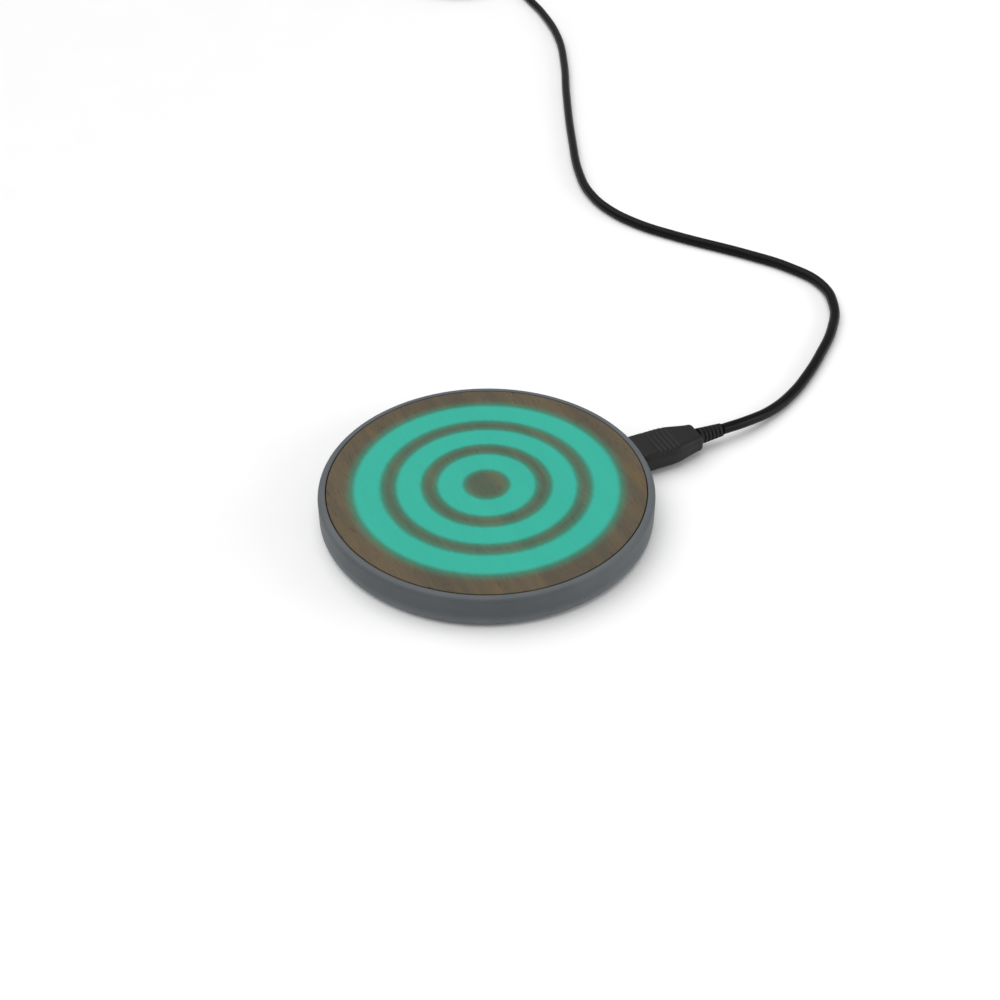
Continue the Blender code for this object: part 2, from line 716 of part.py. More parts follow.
def build_socket(parts, cutters):
    outlines = shell_outlines(SOCKET_WIDTH, SOCKET_HEIGHT, SOCKET_WALL, SOCKET_HEIGHT * 0.49)
    shell = prism("socket_shell", outlines, 0.0, SOCKET_LENGTH, parts)
    paint(along_x(shell, SOCKET_BACK, SOCKET_Z), (0.6, 0.6, 0.62), 0.3, 1.0)
    base_outline = rounded_rectangle(PLUG_WIDTH, PLUG_THICKNESS, PLUG_THICKNESS * 0.45)
    tongue = prism("socket_tongue", [base_outline], 0.0, SOCKET_BASE, parts)
    along_x(tongue, SOCKET_BACK + SLIDE_FIT, SOCKET_Z)
    width = PLUG_WIDTH - 2 * (PLUG_WALL + TONGUE_FIT)
    end = SOCKET_MOUTH - TONGUE_SHORT
    start = SOCKET_BACK + SOCKET_BASE / 2
    size = (end - start, width, TONGUE_THICKNESS)
    blade = box("tongue_blade", size, ((start + end) / 2, 0.0, SOCKET_Z), cutters)
    combine(tongue, blade, "UNION")
    paint(tongue, (0.02, 0.02, 0.02), 0.5)
    return [shell, tongue]


# Cable


def build_plug(parts, cutters):
    outlines = shell_outlines(PLUG_WIDTH, PLUG_THICKNESS, PLUG_WALL, PLUG_THICKNESS * 0.48)
    length = GRIP_FRONT + GRIP_POCKET - GAP - PLUG_TIP
    shell = prism("plug_shell", outlines, 0.0, length, parts)
    paint(along_x(shell, PLUG_TIP, SOCKET_Z), (0.6, 0.6, 0.62), 0.3, 1.0)
    grip = make_grip("plug_grip", (GRIP_WIDTH, GRIP_HEIGHT, GRIP_LENGTH), parts)
    pocket_outline = rounded_rectangle(
        PLUG_WIDTH + 2 * GAP, PLUG_THICKNESS + 2 * GAP, PLUG_THICKNESS * 0.6
    )
    pocket = prism("grip_pocket", [pocket_outline], 0.0, 2 * GRIP_POCKET, cutters)
    along_x(grip, GRIP_FRONT, SOCKET_Z)
    along_x(pocket, GRIP_FRONT - GRIP_POCKET, SOCKET_Z)
    combine(grip, pocket, "DIFFERENCE")
    paint(grip, (0.012, 0.012, 0.012), 0.5)
    relief = make_relief("plug_relief", parts)
    along_x(relief, GRIP_BACK + GAP, SOCKET_Z)
    return [shell, grip, paint(relief, (0.012, 0.012, 0.012), 0.55)]


def make_grip(name, size, parts):
    """A rounded grip of the given width, height and length, made along +Z."""
    width, height, length = size
    grip = prism(name, [rounded_rectangle(width, height, GRIP_ROUND)], 0.0, length, parts)
    return bevelled(grip, GRIP_ROUND / 3)


def make_relief(name, parts):
    """A ribbed taper from a grip to the cord, made along +Z from its big end."""
    mesh = bpy.data.meshes.new(name)
    work = bmesh.new()
    bmesh.ops.create_cone(
        work, cap_ends=True, segments=16, radius1=RELIEF_BIG,
        radius2=CORD_RADIUS + RELIEF_RIM, depth=RELIEF_LENGTH,
    )
    bmesh.ops.translate(work, vec=(0.0, 0.0, RELIEF_LENGTH / 2), verts=work.verts)
    work.to_mesh(mesh)
    work.free()
    return add_object(name, mesh, parts)


def cord_coil_size():
    """Inner radius, outer radius and height of the coiled stretch."""
    half = COIL_TURNS_ACROSS * CORD_RADIUS
    return CORD_COIL_RADIUS - half, CORD_COIL_RADIUS + half, COIL_LAYERS * 2 * CORD_RADIUS


def laid(route):
    """Points along a route that stay on the surface and a gap away from the coil's solid."""
    clear = cord_coil_size()[1] + CORD_RADIUS + GAP
    middle = Vector(CORD_COIL_AT)
    points = [p for p in smooth_route(route, CORD_POINT_SPACING) if (p.xy - middle).length > clear]
    return [Vector((p.x, p.y, max(p.z, CORD_RADIUS))) for p in points]


def build_cord(parts):
    lead = wire("cord_lead", laid(CORD_ROUTE), CORD_RADIUS, parts)
    tail = wire("cord_tail", laid(TAIL_ROUTE), CORD_RADIUS, parts)
    inner, outer, height = cord_coil_size()
    edge = CORD_RADIUS * 0.8
    profile = [
        (inner, height - edge),
        (inner + edge, height),
        (outer - edge, height),
        (outer, height - edge),
        (outer, edge),
        (outer - edge, 0.0),
        (inner + edge, 0.0),
        (inner, edge),
    ]
    coil = turned("cord_coil", profile, parts, steps=40)
    coil.location = (*CORD_COIL_AT, CORD_COIL_BOTTOM)
    for obj in (lead, tail, coil):
        obj.location.x += CORD_START
        paint(obj, (0.012, 0.012, 0.012), 0.45)
    return [lead, coil, tail]


def build_tie(parts):
    """A strap round the coiled stretch, lying across its turns."""
    inner, outer, height = cord_coil_size()
    width = outer - inner + 2 * (TIE_FIT + TIE_THICKNESS)
    stack = height + 2 * (GAP + TIE_THICKNESS)
    outlines = shell_outlines(width, stack, TIE_THICKNESS, CORD_RADIUS)
    tie = prism("cord_tie", outlines, -TIE_WIDTH / 2, TIE_WIDTH, parts)
    stand = Matrix(((1, 0, 0, 0), (0, 0, -1, 0), (0, 1, 0, 0), (0, 0, 0, 1)))
    turn = Matrix.Rotation(math.radians(TIE_ANGLE), 4, "Z")
    x, y = polar(CORD_COIL_RADIUS, TIE_ANGLE)
    middle = Matrix.Translation(
        (CORD_START + CORD_COIL_AT[0] + x, CORD_COIL_AT[1] + y, CORD_COIL_BOTTOM + height / 2)
    )
    tie.data.transform(middle @ turn @ stand)
    return paint(tie, (0.02, 0.02, 0.021), 0.8)


def build_far_plug(parts, cutters):
    """Built along +Z from the cord's end, then laid down and turned into place."""
    made = []
    relief = make_relief("far_relief", parts)
    flip = Matrix.Translation((0.0, 0.0, RELIEF_LENGTH)) @ Matrix.Rotation(math.pi, 4, "X")
    relief.data.transform(Matrix.Translation((0.0, 0.0, GAP)) @ flip)
    made.append(paint(relief, (0.012, 0.012, 0.012), 0.55))
    grip_start = RELIEF_LENGTH + 2 * GAP
    grip = make_grip("far_grip", FAR_GRIP, parts)
    grip.data.transform(Matrix.Translation((0.0, 0.0, grip_start)))
    grip_end = grip_start + FAR_GRIP[2]
    width, height, length = FAR_SHELL
    pocket_outline = rounded_rectangle(width + 2 * GAP, height + 2 * GAP, FAR_ROUND + GAP)
    pocket = prism("far_pocket", [pocket_outline], grip_end - FAR_POCKET, 2 * FAR_POCKET, cutters)
    combine(grip, pocket, "DIFFERENCE")
    made.append(paint(grip, (0.012, 0.012, 0.012), 0.5))
    shell_start = grip_end - FAR_POCKET + GAP
    outlines = shell_outlines(width, height, FAR_WALL, FAR_ROUND)
    shell = prism("far_shell", outlines, shell_start, length + FAR_POCKET - GAP, parts)
    made.append(paint(shell, (0.6, 0.6, 0.62), 0.3, 1.0))
    margin = FAR_WALL + FAR_INSERT_FIT
    insert_outline = [
        (x, y + height / 2 - margin - FAR_INSERT_THICKNESS / 2)
        for x, y in rounded_rectangle(width - 2 * margin, FAR_INSERT_THICKNESS, FAR_ROUND / 3, 1)
    ]
    insert = prism("far_insert", [insert_outline], shell_start, length + FAR_POCKET - 2 * GAP, parts)
    made.append(paint(insert, (0.75, 0.75, 0.75), 0.5))
    lay = Matrix(((0, 0, 1, 0), (1, 0, 0, 0), (0, 1, 0, 0), (0, 0, 0, 1)))
    turn = Matrix.Rotation(math.radians(FAR_PLUG_TURN), 4, "Z")
    place = Matrix.Translation((CORD_START + FAR_PLUG_AT[0], FAR_PLUG_AT[1], FAR_GRIP[1] / 2))
    for obj in (*made, pocket):
        obj.data.transform(place @ turn @ lay)
    return made


def build_cable(parts, cutters):
    """Everything that comes away with the plug, under an empty on the plug's sliding axis."""
    slide = add_object("cable_slide", None, parts)
    slide.location = (SOCKET_MOUTH, 0.0, SOCKET_Z)
    slide.empty_display_size = 0.005
    pieces = [
        *build_plug(parts, cutters),
        *build_cord(parts),
        build_tie(parts),
        *build_far_plug(parts, cutters),
    ]
    for piece in pieces:
        piece.parent = slide
        piece.matrix_parent_inverse = Matrix.Translation(-slide.location)


def main():
    clear_scene()
    parts = new_collection("wireless_charging_pad")
    cutters = new_collection("cutters")
    build_housing(parts, cutters)
    build_top(parts)
    build_light_guide(parts)
    build_lamps(parts)
    build_coil(parts)
    build_shield(parts, cutters)
    build_board(parts)
    build_board_parts(parts)
    build_cover(parts, cutters)
    build_screws(parts, cutters)
    build_foot(parts)
    build_socket(parts, cutters)
    build_cable(parts, cutters)
    for obj in parts.objects:
        if obj.type == "MESH":
            smooth(obj.data)


main()
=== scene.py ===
"""A wireless charging pad with a wooden top and its cable: looks, lights and camera."""

import math

import bmesh
import bpy
from mathutils import Matrix, Vector


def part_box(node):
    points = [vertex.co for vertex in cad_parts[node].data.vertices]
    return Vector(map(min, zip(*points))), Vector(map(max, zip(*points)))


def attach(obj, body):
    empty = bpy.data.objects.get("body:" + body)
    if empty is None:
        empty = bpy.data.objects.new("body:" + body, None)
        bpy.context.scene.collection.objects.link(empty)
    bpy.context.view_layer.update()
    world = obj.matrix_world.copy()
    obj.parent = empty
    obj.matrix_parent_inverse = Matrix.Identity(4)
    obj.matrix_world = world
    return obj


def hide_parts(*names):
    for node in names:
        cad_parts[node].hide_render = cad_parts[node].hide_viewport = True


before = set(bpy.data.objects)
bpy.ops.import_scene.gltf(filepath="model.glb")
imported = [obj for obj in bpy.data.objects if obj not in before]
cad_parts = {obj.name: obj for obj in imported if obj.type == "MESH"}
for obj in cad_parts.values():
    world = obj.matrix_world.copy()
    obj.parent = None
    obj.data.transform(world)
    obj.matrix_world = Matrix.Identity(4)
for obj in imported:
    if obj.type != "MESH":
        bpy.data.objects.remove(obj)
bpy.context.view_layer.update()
MM = 0.001
GAP = 0.3 * MM
NEAR = 0.01 * MM
AXIS = (0.0, 0.0)

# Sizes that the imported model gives, and the walls between them
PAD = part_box("housing")[1].x
PAD_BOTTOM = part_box("housing")[0].z
PAD_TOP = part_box("wood_top")[1].z
TOP_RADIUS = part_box("wood_top")[1].x
TOP_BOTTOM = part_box("wood_top")[0].z
OPENING = TOP_RADIUS + 0.25 * MM
INNER_WALL = PAD - 1.8 * MM
LEDGE_TOP = TOP_BOTTOM - GAP
LEDGE_BOTTOM = LEDGE_TOP - 1.2 * MM
LEDGE_INNER = INNER_WALL - 2.9 * MM
SCREW_CIRCLE = INNER_WALL - 3.4 * MM
SCREW_ANGLES = (45.0, 135.0, 225.0, 315.0)
PARTS_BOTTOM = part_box("controller_chip")[0].z
BOARD_Z = 3.4 * MM
GUIDE_LOW, GUIDE_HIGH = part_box("light_guide")
RING_INNER, RING_OUTER = 31.0 * MM, 37.0 * MM
SOCKET_LOW, SOCKET_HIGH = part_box("socket_shell")
SOCKET_Z = (SOCKET_LOW.z + SOCKET_HIGH.z) / 2
GRIP_LOW, GRIP_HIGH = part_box("plug_grip")
RELIEF_LOW, RELIEF_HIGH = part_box("plug_relief")
CORD_RADIUS = 1.6 * MM
CORD_START = RELIEF_HIGH.x + GAP
CORD_COIL_AT = Vector((CORD_START + 74.6 * MM, 357.0 * MM, 0.0))
CORD_COIL_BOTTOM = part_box("cord_coil")[0].z
TIE_ANGLE = 205.0
FAR_PLUG_AT = Vector((CORD_START + 31.0 * MM, 395.3 * MM, 3.8 * MM))
FAR_PLUG_TURN = 160.0


# Camera

camera = bpy.data.objects.new("camera", bpy.data.cameras.new("camera"))
bpy.context.scene.collection.objects.link(camera)
camera.data.lens = 54.0
camera.data.sensor_width = 36.0
camera.location = (-0.127968, -0.282867, 0.261368)
camera.rotation_euler = (math.radians(50.324), 0.0, math.radians(-25.0))
bpy.context.scene.camera = camera


# Modelling by hand


def mm(*lengths):
    """Lengths given in millimetres."""
    return tuple(length * MM for length in lengths)


def rising(base, *steps):
    """Steps of a turned profile: radius and height above a base, given in millimetres."""
    return [(radius * MM, base + height * MM) for radius, height in steps]


def polar(radius, degrees):
    angle = math.radians(degrees)
    return radius * math.cos(angle), radius * math.sin(angle)


def shift(x, y, z):
    return Matrix.Translation((x, y, z))


def turn(degrees, about=(0.0, 0.0, 0.0)):
    """A turn about an upright line."""
    middle = Matrix.Translation(about)
    return middle @ Matrix.Rotation(math.radians(degrees), 4, "Z") @ middle.inverted()


def fresh():
    """Out of edit mode, with nothing selected."""
    if bpy.context.object and bpy.context.object.mode != "OBJECT":
        bpy.ops.object.mode_set(mode="OBJECT")
    bpy.ops.object.select_all(action="DESELECT")


def begun(name):
    """The primitive just added, named and in edit mode with its place in its mesh."""
    piece = bpy.context.object
    piece.name = name
    piece.data.name = name
    bpy.ops.object.transform_apply(location=True, rotation=True, scale=True)
    bpy.ops.object.mode_set(mode="EDIT")
    return piece


def drum(name, radius, bottom, top, at=AXIS, sides=144):
    fresh()
    bpy.ops.mesh.primitive_cylinder_add(
        vertices=sides, radius=radius, depth=top - bottom, location=(*at, (bottom + top) / 2)
    )
    return begun(name)


def slab(name, low, high):
    low, high = Vector(low), Vector(high)
    fresh()
    bpy.ops.mesh.primitive_cube_add(size=1.0, location=(low + high) / 2, scale=high - low)
    return begun(name)


def pick(kind, test):
    """In edit mode, selects the faces or edges that pass a test on their middle and direction."""
    piece = bpy.context.object
    bpy.ops.mesh.select_mode(type=kind)
    bpy.ops.mesh.select_all(action="DESELECT")
    work = bmesh.from_edit_mesh(piece.data)
    if kind == "FACE":
        for face in work.faces:
            if test(face.calc_center_median(), face.normal):
                face.select_set(True)
    else:
        for edge in work.edges:
            a, b = (v.co for v in edge.verts)
            if test((a + b) / 2, (b - a).normalized()):
                edge.select_set(True)
    bmesh.update_edit_mesh(piece.data)


def pick_cap(height, at=AXIS):
    """Selects the flat faces at a height, on a piece that is turned about a point."""
    x, y = at
    pick(
        "FACE",
        lambda middle, normal: abs(middle.z - height) < NEAR
        and abs(normal.z) > 0.99
        and math.hypot(middle.x - x, middle.y - y) < 1.0,
    )


def bevel(width, segments):
    bpy.ops.mesh.bevel(offset=width, segments=segments, profile=0.5, affect="EDGES")


def round_off(radius, height, width, segments, at=AXIS):
    """Bevels the round edge of a turned piece at a radius and height."""
    x, y = at
    near = 2 * NEAR
    pick(
        "EDGE",
        lambda middle, way: abs(middle.z - height) < near
        and abs(math.hypot(middle.x - x, middle.y - y) - radius) < 0.004 * radius + near
        and abs(way.z) < 0.01,
    )
    bevel(width, segments)


def round_along(axis, width, segments, where=lambda middle: True):
    """Bevels the edges that run along an axis."""
    index = "XYZ".index(axis)
    pick("EDGE", lambda middle, way: abs(way[index]) > 0.99 and where(middle))
    bevel(width, segments)


def open_up():
    """Removes the selected faces and keeps their edges."""
    bpy.ops.mesh.delete(type="ONLY_FACE")


def pull(x, y, z):
    bpy.ops.mesh.extrude_region_move(TRANSFORM_OT_translate={"value": (x, y, z)})


def carry(steps, start, at=AXIS):
    """Extrudes the selected cap through steps of radius and height, like a turned profile."""
    radius, height = start
    for new_radius, new_height in steps:
        pull(0.0, 0.0, new_height - height)
        factor = new_radius / radius
        if abs(factor - 1.0) > 1e-6:
            bpy.ops.transform.resize(value=(factor, factor, 1.0), center_override=(*at, new_height))
        radius, height = new_radius, new_height


def smooth(degrees):
    bpy.ops.object.shade_smooth_by_angle(angle=math.radians(degrees))


def done(piece, degrees=35.0):
    """Back to object mode with smooth shading and its faces turned outwards."""
    if bpy.context.object.mode != "EDIT":
        bpy.ops.object.mode_set(mode="EDIT")
    bpy.ops.mesh.select_all(action="SELECT")
    bpy.ops.mesh.remove_doubles(threshold=0.0005 * MM)
    bpy.ops.mesh.normals_make_consistent(inside=False)
    bpy.ops.object.mode_set(mode="OBJECT")
    smooth(degrees)
    return piece


def applied(piece, kind, **settings):
    """Adds a modifier to the active piece and applies it."""
    change = piece.modifiers.new(kind, kind)
    for key, value in settings.items():
        setattr(change, key, value)
    bpy.ops.object.modifier_apply(modifier=change.name)


def cut(piece, tool, operation="DIFFERENCE"):
    """Takes a tool's shape out of a piece, or adds it."""
    if tool.mode == "EDIT":
        done(tool)
    fresh()
    bpy.context.view_layer.objects.active = piece
    piece.select_set(True)
    applied(piece, "BOOLEAN", operation=operation, solver="EXACT", object=tool)
    bpy.data.objects.remove(tool)


def join(name, pieces):
    """Several pieces as one object."""
    fresh()
    for piece in pieces:
        piece.select_set(True)
    bpy.context.view_layer.objects.active = pieces[0]
    bpy.ops.object.join()
    pieces[0].name = name
    return pieces[0]


def moved(piece, matrix):
    """A piece whose mesh is carried to its place."""
    piece.data.transform(matrix)
    piece.data.update()
    return piece


def copied(piece, name, matrix):
    twin = piece.copy()
    twin.data = piece.data.copy()
    twin.name = name
    bpy.context.scene.collection.objects.link(twin)
    return moved(twin, matrix)


def lozenge(name, width, height, start, end, middle_z, round_by, segments=8):
    """A bar along X with rounded long edges."""
    low = (start, -width / 2, middle_z - height / 2)
    high = (end, width / 2, middle_z + height / 2)
    piece = slab(name, low, high)
    round_along("X", round_by, segments)
    return piece


def tube_of(name, width, height, wall, start, end, middle_z, round_by, lip):
    """A thin metal shell along X, open at both ends, with a softened edge."""
    piece = lozenge(name, width, height, start, end, middle_z, round_by)
    pick("FACE", lambda middle, normal: abs(normal.x) > 0.99)
    open_up()
    bpy.ops.object.mode_set(mode="OBJECT")
    applied(piece, "SOLIDIFY", thickness=wall, offset=-1.0)
    bpy.ops.object.mode_set(mode="EDIT")
    pick("EDGE", lambda middle, way: abs(middle.x - end) < NEAR and abs(way.x) < 0.01)
    bevel(lip, 2)
    return done(piece)


# Materials


class Signal:
    """A node's output that can be added, multiplied and compared like a number."""

    def __init__(self, finish, socket):
        self.finish = finish
        self.socket = socket

    def maths(self, operation, *others):
        settings = {"operation": operation}
        values = dict(enumerate((self, *others)))
        return self.finish.node("ShaderNodeMath", settings, values)

    def __add__(self, other):
        return self.maths("ADD", other)

    def __sub__(self, other):
        return self.maths("SUBTRACT", other)

    def __mul__(self, other):
        return self.maths("MULTIPLY", other)

    def __pow__(self, other):
        return self.maths("POWER", other)

    def __rsub__(self, other):
        return self.finish.node(
            "ShaderNodeMath", {"operation": "SUBTRACT"}, {0: other, 1: self}
        )

    __radd__ = __add__
    __rmul__ = __mul__

    def sine(self):
        return self.maths("SINE")

    def steps(self, low, high):
        """0 below the low value, 1 above the high one, and a smooth ramp between."""
        settings = {"interpolation_type": "SMOOTHSTEP"}
        return self.finish.node(
            "ShaderNodeMapRange",
            settings,
            {"Value": self, "From Min": low, "From Max": high, "To Min": 0.0, "To Max": 1.0},
        )

    def band(self, low, high, soft):
        """1 between two values with soft edges."""
        return self.steps(low - soft, low + soft) * (1.0 - self.steps(high - soft, high + soft))


class Finish:
    """A node material in the making."""

    def __init__(self, name, **constants):
        self.material = bpy.data.materials.new(name)
        self.material.use_nodes = True
        self.tree = self.material.node_tree
        self.shader = self.tree.nodes["Principled BSDF"]
        for socket, value in constants.items():
            self.shader.inputs[socket.replace("_", " ")].default_value = value
        self.place = self.node("ShaderNodeTexCoord", {}, {}, "Object")

    def node(self, kind, settings, values, output=0):
        node = self.tree.nodes.new(kind)
        for key, value in settings.items():
            setattr(node, key, value)
        for key, value in values.items():
            self.give(node.inputs[key], value)
        return Signal(self, node.outputs[output])

    def give(self, socket, value):
        if isinstance(value, Signal):
            self.tree.links.new(value.socket, socket)
        else:
            socket.default_value = value

    def set(self, **links):
        for socket, value in links.items():
            self.give(self.shader.inputs[socket.replace("_", " ")], value)

    def stretched(self, x, y, z, turn_z=0.0):
        """The place on the object, scaled along each axis."""
        values = {"Vector": self.place, "Scale": (x, y, z), "Rotation": (0.0, 0.0, turn_z)}
        return self.node("ShaderNodeMapping", {}, values)

    def at(self, where):
        """A place to read a pattern at: a number scales the object's own coordinates evenly."""
        return self.stretched(where, where, where) if isinstance(where, (int, float)) else where

    def noise(self, where, scale=1.0, detail=3.0, roughness=0.55, distortion=0.0):
        values = {
            "Vector": self.at(where), "Scale": scale, "Detail": detail,
            "Roughness": roughness, "Distortion": distortion,
        }
        return self.node("ShaderNodeTexNoise", {}, values)

    def cells(self, where, scale=1.0, feature="F1", output="Distance"):
        settings = {"feature": feature}
        values = {"Vector": self.at(where), "Scale": scale}
        return self.node("ShaderNodeTexVoronoi", settings, values, output)

    def parts_of(self, vector):
        split = self.tree.nodes.new("ShaderNodeSeparateXYZ")
        self.give(split.inputs[0], vector)
        return [Signal(self, output) for output in split.outputs]

    def radius(self):
        """The distance from the pad's axis."""
        x, y, _ = self.parts_of(self.place)
        return (x * x + y * y) ** 0.5

    def grey(self, value):
        """The same amount in all three colours."""
        return self.node("ShaderNodeCombineColor", {}, {0: value, 1: value, 2: value})

    def mix(self, factor, first, second, blend="MIX"):
        settings = {"data_type": "RGBA", "blend_type": blend}
        return self.node("ShaderNodeMix", settings, {0: factor, 6: first, 7: second}, 2)

    def bump(self, height, depth, strength=1.0, under=None):
        values = {"Height": height, "Distance": depth, "Strength": strength}
        if under is not None:
            values["Normal"] = under
        return self.node("ShaderNodeBump", {}, values)


def tone(red, green, blue):
    """A colour given in the usual 0 to 255 steps, made linear."""
    linear = []
    for step in (red, green, blue):
        share = step / 255.0
        linear.append(share / 12.92 if share <= 0.04045 else ((share + 0.055) / 1.055) ** 2.4)
    return (*linear, 1.0)


def casing_finish():
    """Grey casing with a fine blasted grain and faint wipe marks, lightened towards its foot by a
    painted reflection of the floor and along its top edge by a painted highlight.
    """
    it = Finish("casing_grey", IOR=1.45, Specular_IOR_Level=0.42)
    grain = it.noise(9000, detail=2.0, roughness=0.6)
    clouds = it.noise(60, detail=4.0)
    specks = it.cells(5200).steps(0.0, 0.35)
    base = it.mix(clouds.steps(0.3, 0.75), tone(77, 82, 85), tone(87, 91, 94))
    colour = it.mix((1.0 - specks) * 0.25, base, tone(66, 70, 73))
    z = it.parts_of(it.place)[2]
    # Painted reflection of the floor: the colour lightens towards the bottom of the side wall.
    painted_floor_reflection = 1.0 - z.steps(PAD_BOTTOM + 0.4 * MM, PAD_BOTTOM + 3.8 * MM)
    # Painted highlight: the colour lightens along the top edge of the rim.
    lip = z.steps(PAD_TOP - 0.5 * MM, PAD_TOP - 0.1 * MM) * 0.25
    # The painted reflection and the painted highlight blend towards a light grey, patchy with the
    # clouds.
    colour = it.mix((painted_floor_reflection + lip) * (clouds * 0.5 + 0.5), colour, tone(110, 115, 118))
    height = grain * 0.7 + specks * 0.3
    it.set(Base_Color=colour, Roughness=clouds * 0.14 + 0.46 + grain * 0.06)
    it.set(Normal=it.bump(height, 0.00004, 0.5))
    return it.material


# Middle, half width and softness of each ring of light, in millimetres
GLOW_RINGS = ((9.7, 3.7, 2.1), (20.8, 3.6, 2.1), (32.1, 4.1, 2.4))


def wood_finish():
    """Oiled oak-like veneer, its grain along Y, with the rings of light behind it."""
    it = Finish("wood_veneer", IOR=1.45, Specular_IOR_Level=0.15, Emission_Strength=1.0)
    x, y, z = it.parts_of(it.place)
    sway = it.noise(it.stretched(45, 9, 45), detail=2.0)
    where = it.node(
        "ShaderNodeCombineXYZ", {}, {0: x + (sway - 0.5) * 0.006, 1: y, 2: z}
    )
    along = it.node("ShaderNodeVectorMath", {"operation": "MULTIPLY"}, {0: where, 1: (1, 0.06, 1)})
    short = it.node("ShaderNodeVectorMath", {"operation": "MULTIPLY"}, {0: where, 1: (1, 0.16, 1)})
    boards = it.noise(along, 150.0, 3.0, 0.6)
    fibres = it.noise(along, 2600.0, 4.0, 0.7)
    hairs = it.noise(along, 7000.0, 2.0, 0.6)
    pores = it.noise(short, 1500.0, 2.0, 0.5).steps(0.60, 0.72)
    flames = it.noise(short, 300.0, 3.0, 0.55, 0.6).steps(0.52, 0.72)
    flecks = it.noise(short, 620.0, 2.0, 0.5).steps(0.62, 0.72)
    colour = it.mix(boards.steps(0.32, 0.68), tone(86, 79, 66), tone(102, 90, 71))
    colour = it.mix(fibres.steps(0.3, 0.75) * 0.36, colour, tone(69, 64, 54))
    colour = it.mix(flames * 0.42, colour, tone(116, 93, 58))
    colour = it.mix(flecks * 0.35, colour, tone(98, 84, 46))
    colour = it.mix(pores * 0.45, colour, tone(58, 49, 39))
    colour = it.mix(hairs.steps(0.45, 0.8) * 0.22, colour, tone(118, 106, 86))
    reach = it.radius() * 1000.0
    ragged = reach + (fibres - 0.5) * 0.9
    light = None
    for middle, half, soft in GLOW_RINGS:
        ring = ragged.band(middle - half, middle + half, soft)
        light = ring if light is None else light + ring
    halo = (1.0 - ragged.steps(28.0, 40.5)) * 0.17
    facing = it.parts_of(it.node("ShaderNodeNewGeometry", {}, {}, "Normal"))[2].steps(0.3, 0.8)
    light = (light + halo).maths("MINIMUM", 1.0) * facing
    core = light.steps(0.55, 1.0)
    shade = boards * 0.10 + fibres * 0.14 + 0.88
    glow = it.mix(core, tone(36, 140, 114), tone(48, 176, 155))
    glow = it.mix(1.0, glow, it.grey(shade), "MULTIPLY")
    glow = it.mix(light, (0, 0, 0, 1), glow)
    it.set(
        Base_Color=it.mix(light * 0.95, colour, tone(10, 26, 24)),
        Emission_Color=glow,
        Roughness=boards * 0.10 + 0.50 + pores * 0.15,
    )
    height = fibres * 0.5 + hairs * 0.3 - pores * 0.8
    it.set(Normal=it.bump(height, 0.00006, 0.55))
    return it.material


def moulded_finish(name, light, dark, rough, grain_scale=5200.0, depth=0.00003):
    """Moulded plastic or rubber with a spark-eroded grain."""
    it = Finish(name, IOR=1.5, Specular_IOR_Level=0.28)
    grain = it.noise(grain_scale, detail=2.0)
    pits = it.cells(grain_scale / 2).steps(0.0, 0.5)
    wear = it.noise(110, detail=4.0)
    colour = it.mix(wear.steps(0.35, 0.75), light, dark)
    it.set(Base_Color=it.mix(pits * 0.2, colour, dark))
    it.set(Roughness=wear * 0.16 + rough + grain * 0.06)
    it.set(Normal=it.bump(grain * 0.6 + pits * 0.4, depth, 0.6))
    return it.material


def metal_finish(name, light, dark, rough):
    """Drawn or plated metal with fine lines."""
    it = Finish(name, IOR=2.5)
    lines = it.noise(it.stretched(900, 9000, 9000), detail=3.0, roughness=0.65)
    stain = it.noise(240, detail=3.0)
    it.set(Base_Color=it.mix(stain.steps(0.3, 0.7) * 0.6 + lines * 0.3, light, dark))
    it.set(Metallic=0.95 + stain * 0.05, Roughness=lines * 0.16 + rough)
    it.set(Normal=it.bump(lines, 0.00001, 0.5))
    return it.material


def cord_finish():
    """Near-black vinyl sleeve: satin, with a faint drawn texture and dust."""
    it = Finish("cord_black", IOR=1.5, Specular_IOR_Level=0.12)
    fine = it.noise(2600, detail=3.0)
    long = it.noise(160, detail=3.0)
    dust = it.noise(900, detail=2.0).steps(0.66, 0.8)
    colour = it.mix(long.steps(0.3, 0.7), tone(7, 6, 6), tone(13, 12, 12))
    it.set(Base_Color=it.mix(dust * 0.06, colour, tone(92, 88, 84)))
    it.set(Roughness=long * 0.10 + 0.28 + fine * 0.05, Normal=it.bump(fine, 0.00003, 0.35))
    return it.material


def guide_finish():
    """Frosted light guide with printed dots that the lamps light up."""
    it = Finish("light_guide_clear", IOR=1.49, Emission_Strength=0.45)
    dots = it.cells(900).steps(0.18, 0.30)
    haze = it.noise(400, detail=3.0)
    reach = it.radius() * 1000.0
    near_lamps = reach.steps(4.0, 36.0)
    colour = it.mix(dots, tone(236, 246, 243), tone(176, 224, 213))
    it.set(Base_Color=colour, Roughness=haze * 0.2 + 0.22)
    lit = it.mix(near_lamps * 0.7 + (1.0 - dots) * 0.3, tone(16, 78, 66), tone(60, 176, 152))
    it.set(Emission_Color=lit, Normal=it.bump(1.0 - dots, 0.00008, 0.5))
    return it.material


def lamp_finish():
    """White lamp body with a lit phosphor window on top."""
    it = Finish("lamp_lens", IOR=1.5, Emission_Strength=1.6)
    z = it.parts_of(it.place)[2]
    mottle = it.noise(3000, detail=2.0)
    high = z.steps(PARTS_BOTTOM + 0.55 * MM, PARTS_BOTTOM + 0.85 * MM)
    it.set(Base_Color=it.mix(mottle * 0.4, tone(236, 235, 226), tone(205, 204, 190)))
    it.set(Emission_Color=it.mix(high, (0, 0, 0, 1), tone(90, 236, 206)))
    it.set(Roughness=mottle * 0.2 + 0.3, Normal=it.bump(mottle, 0.00002, 0.4))
    return it.material


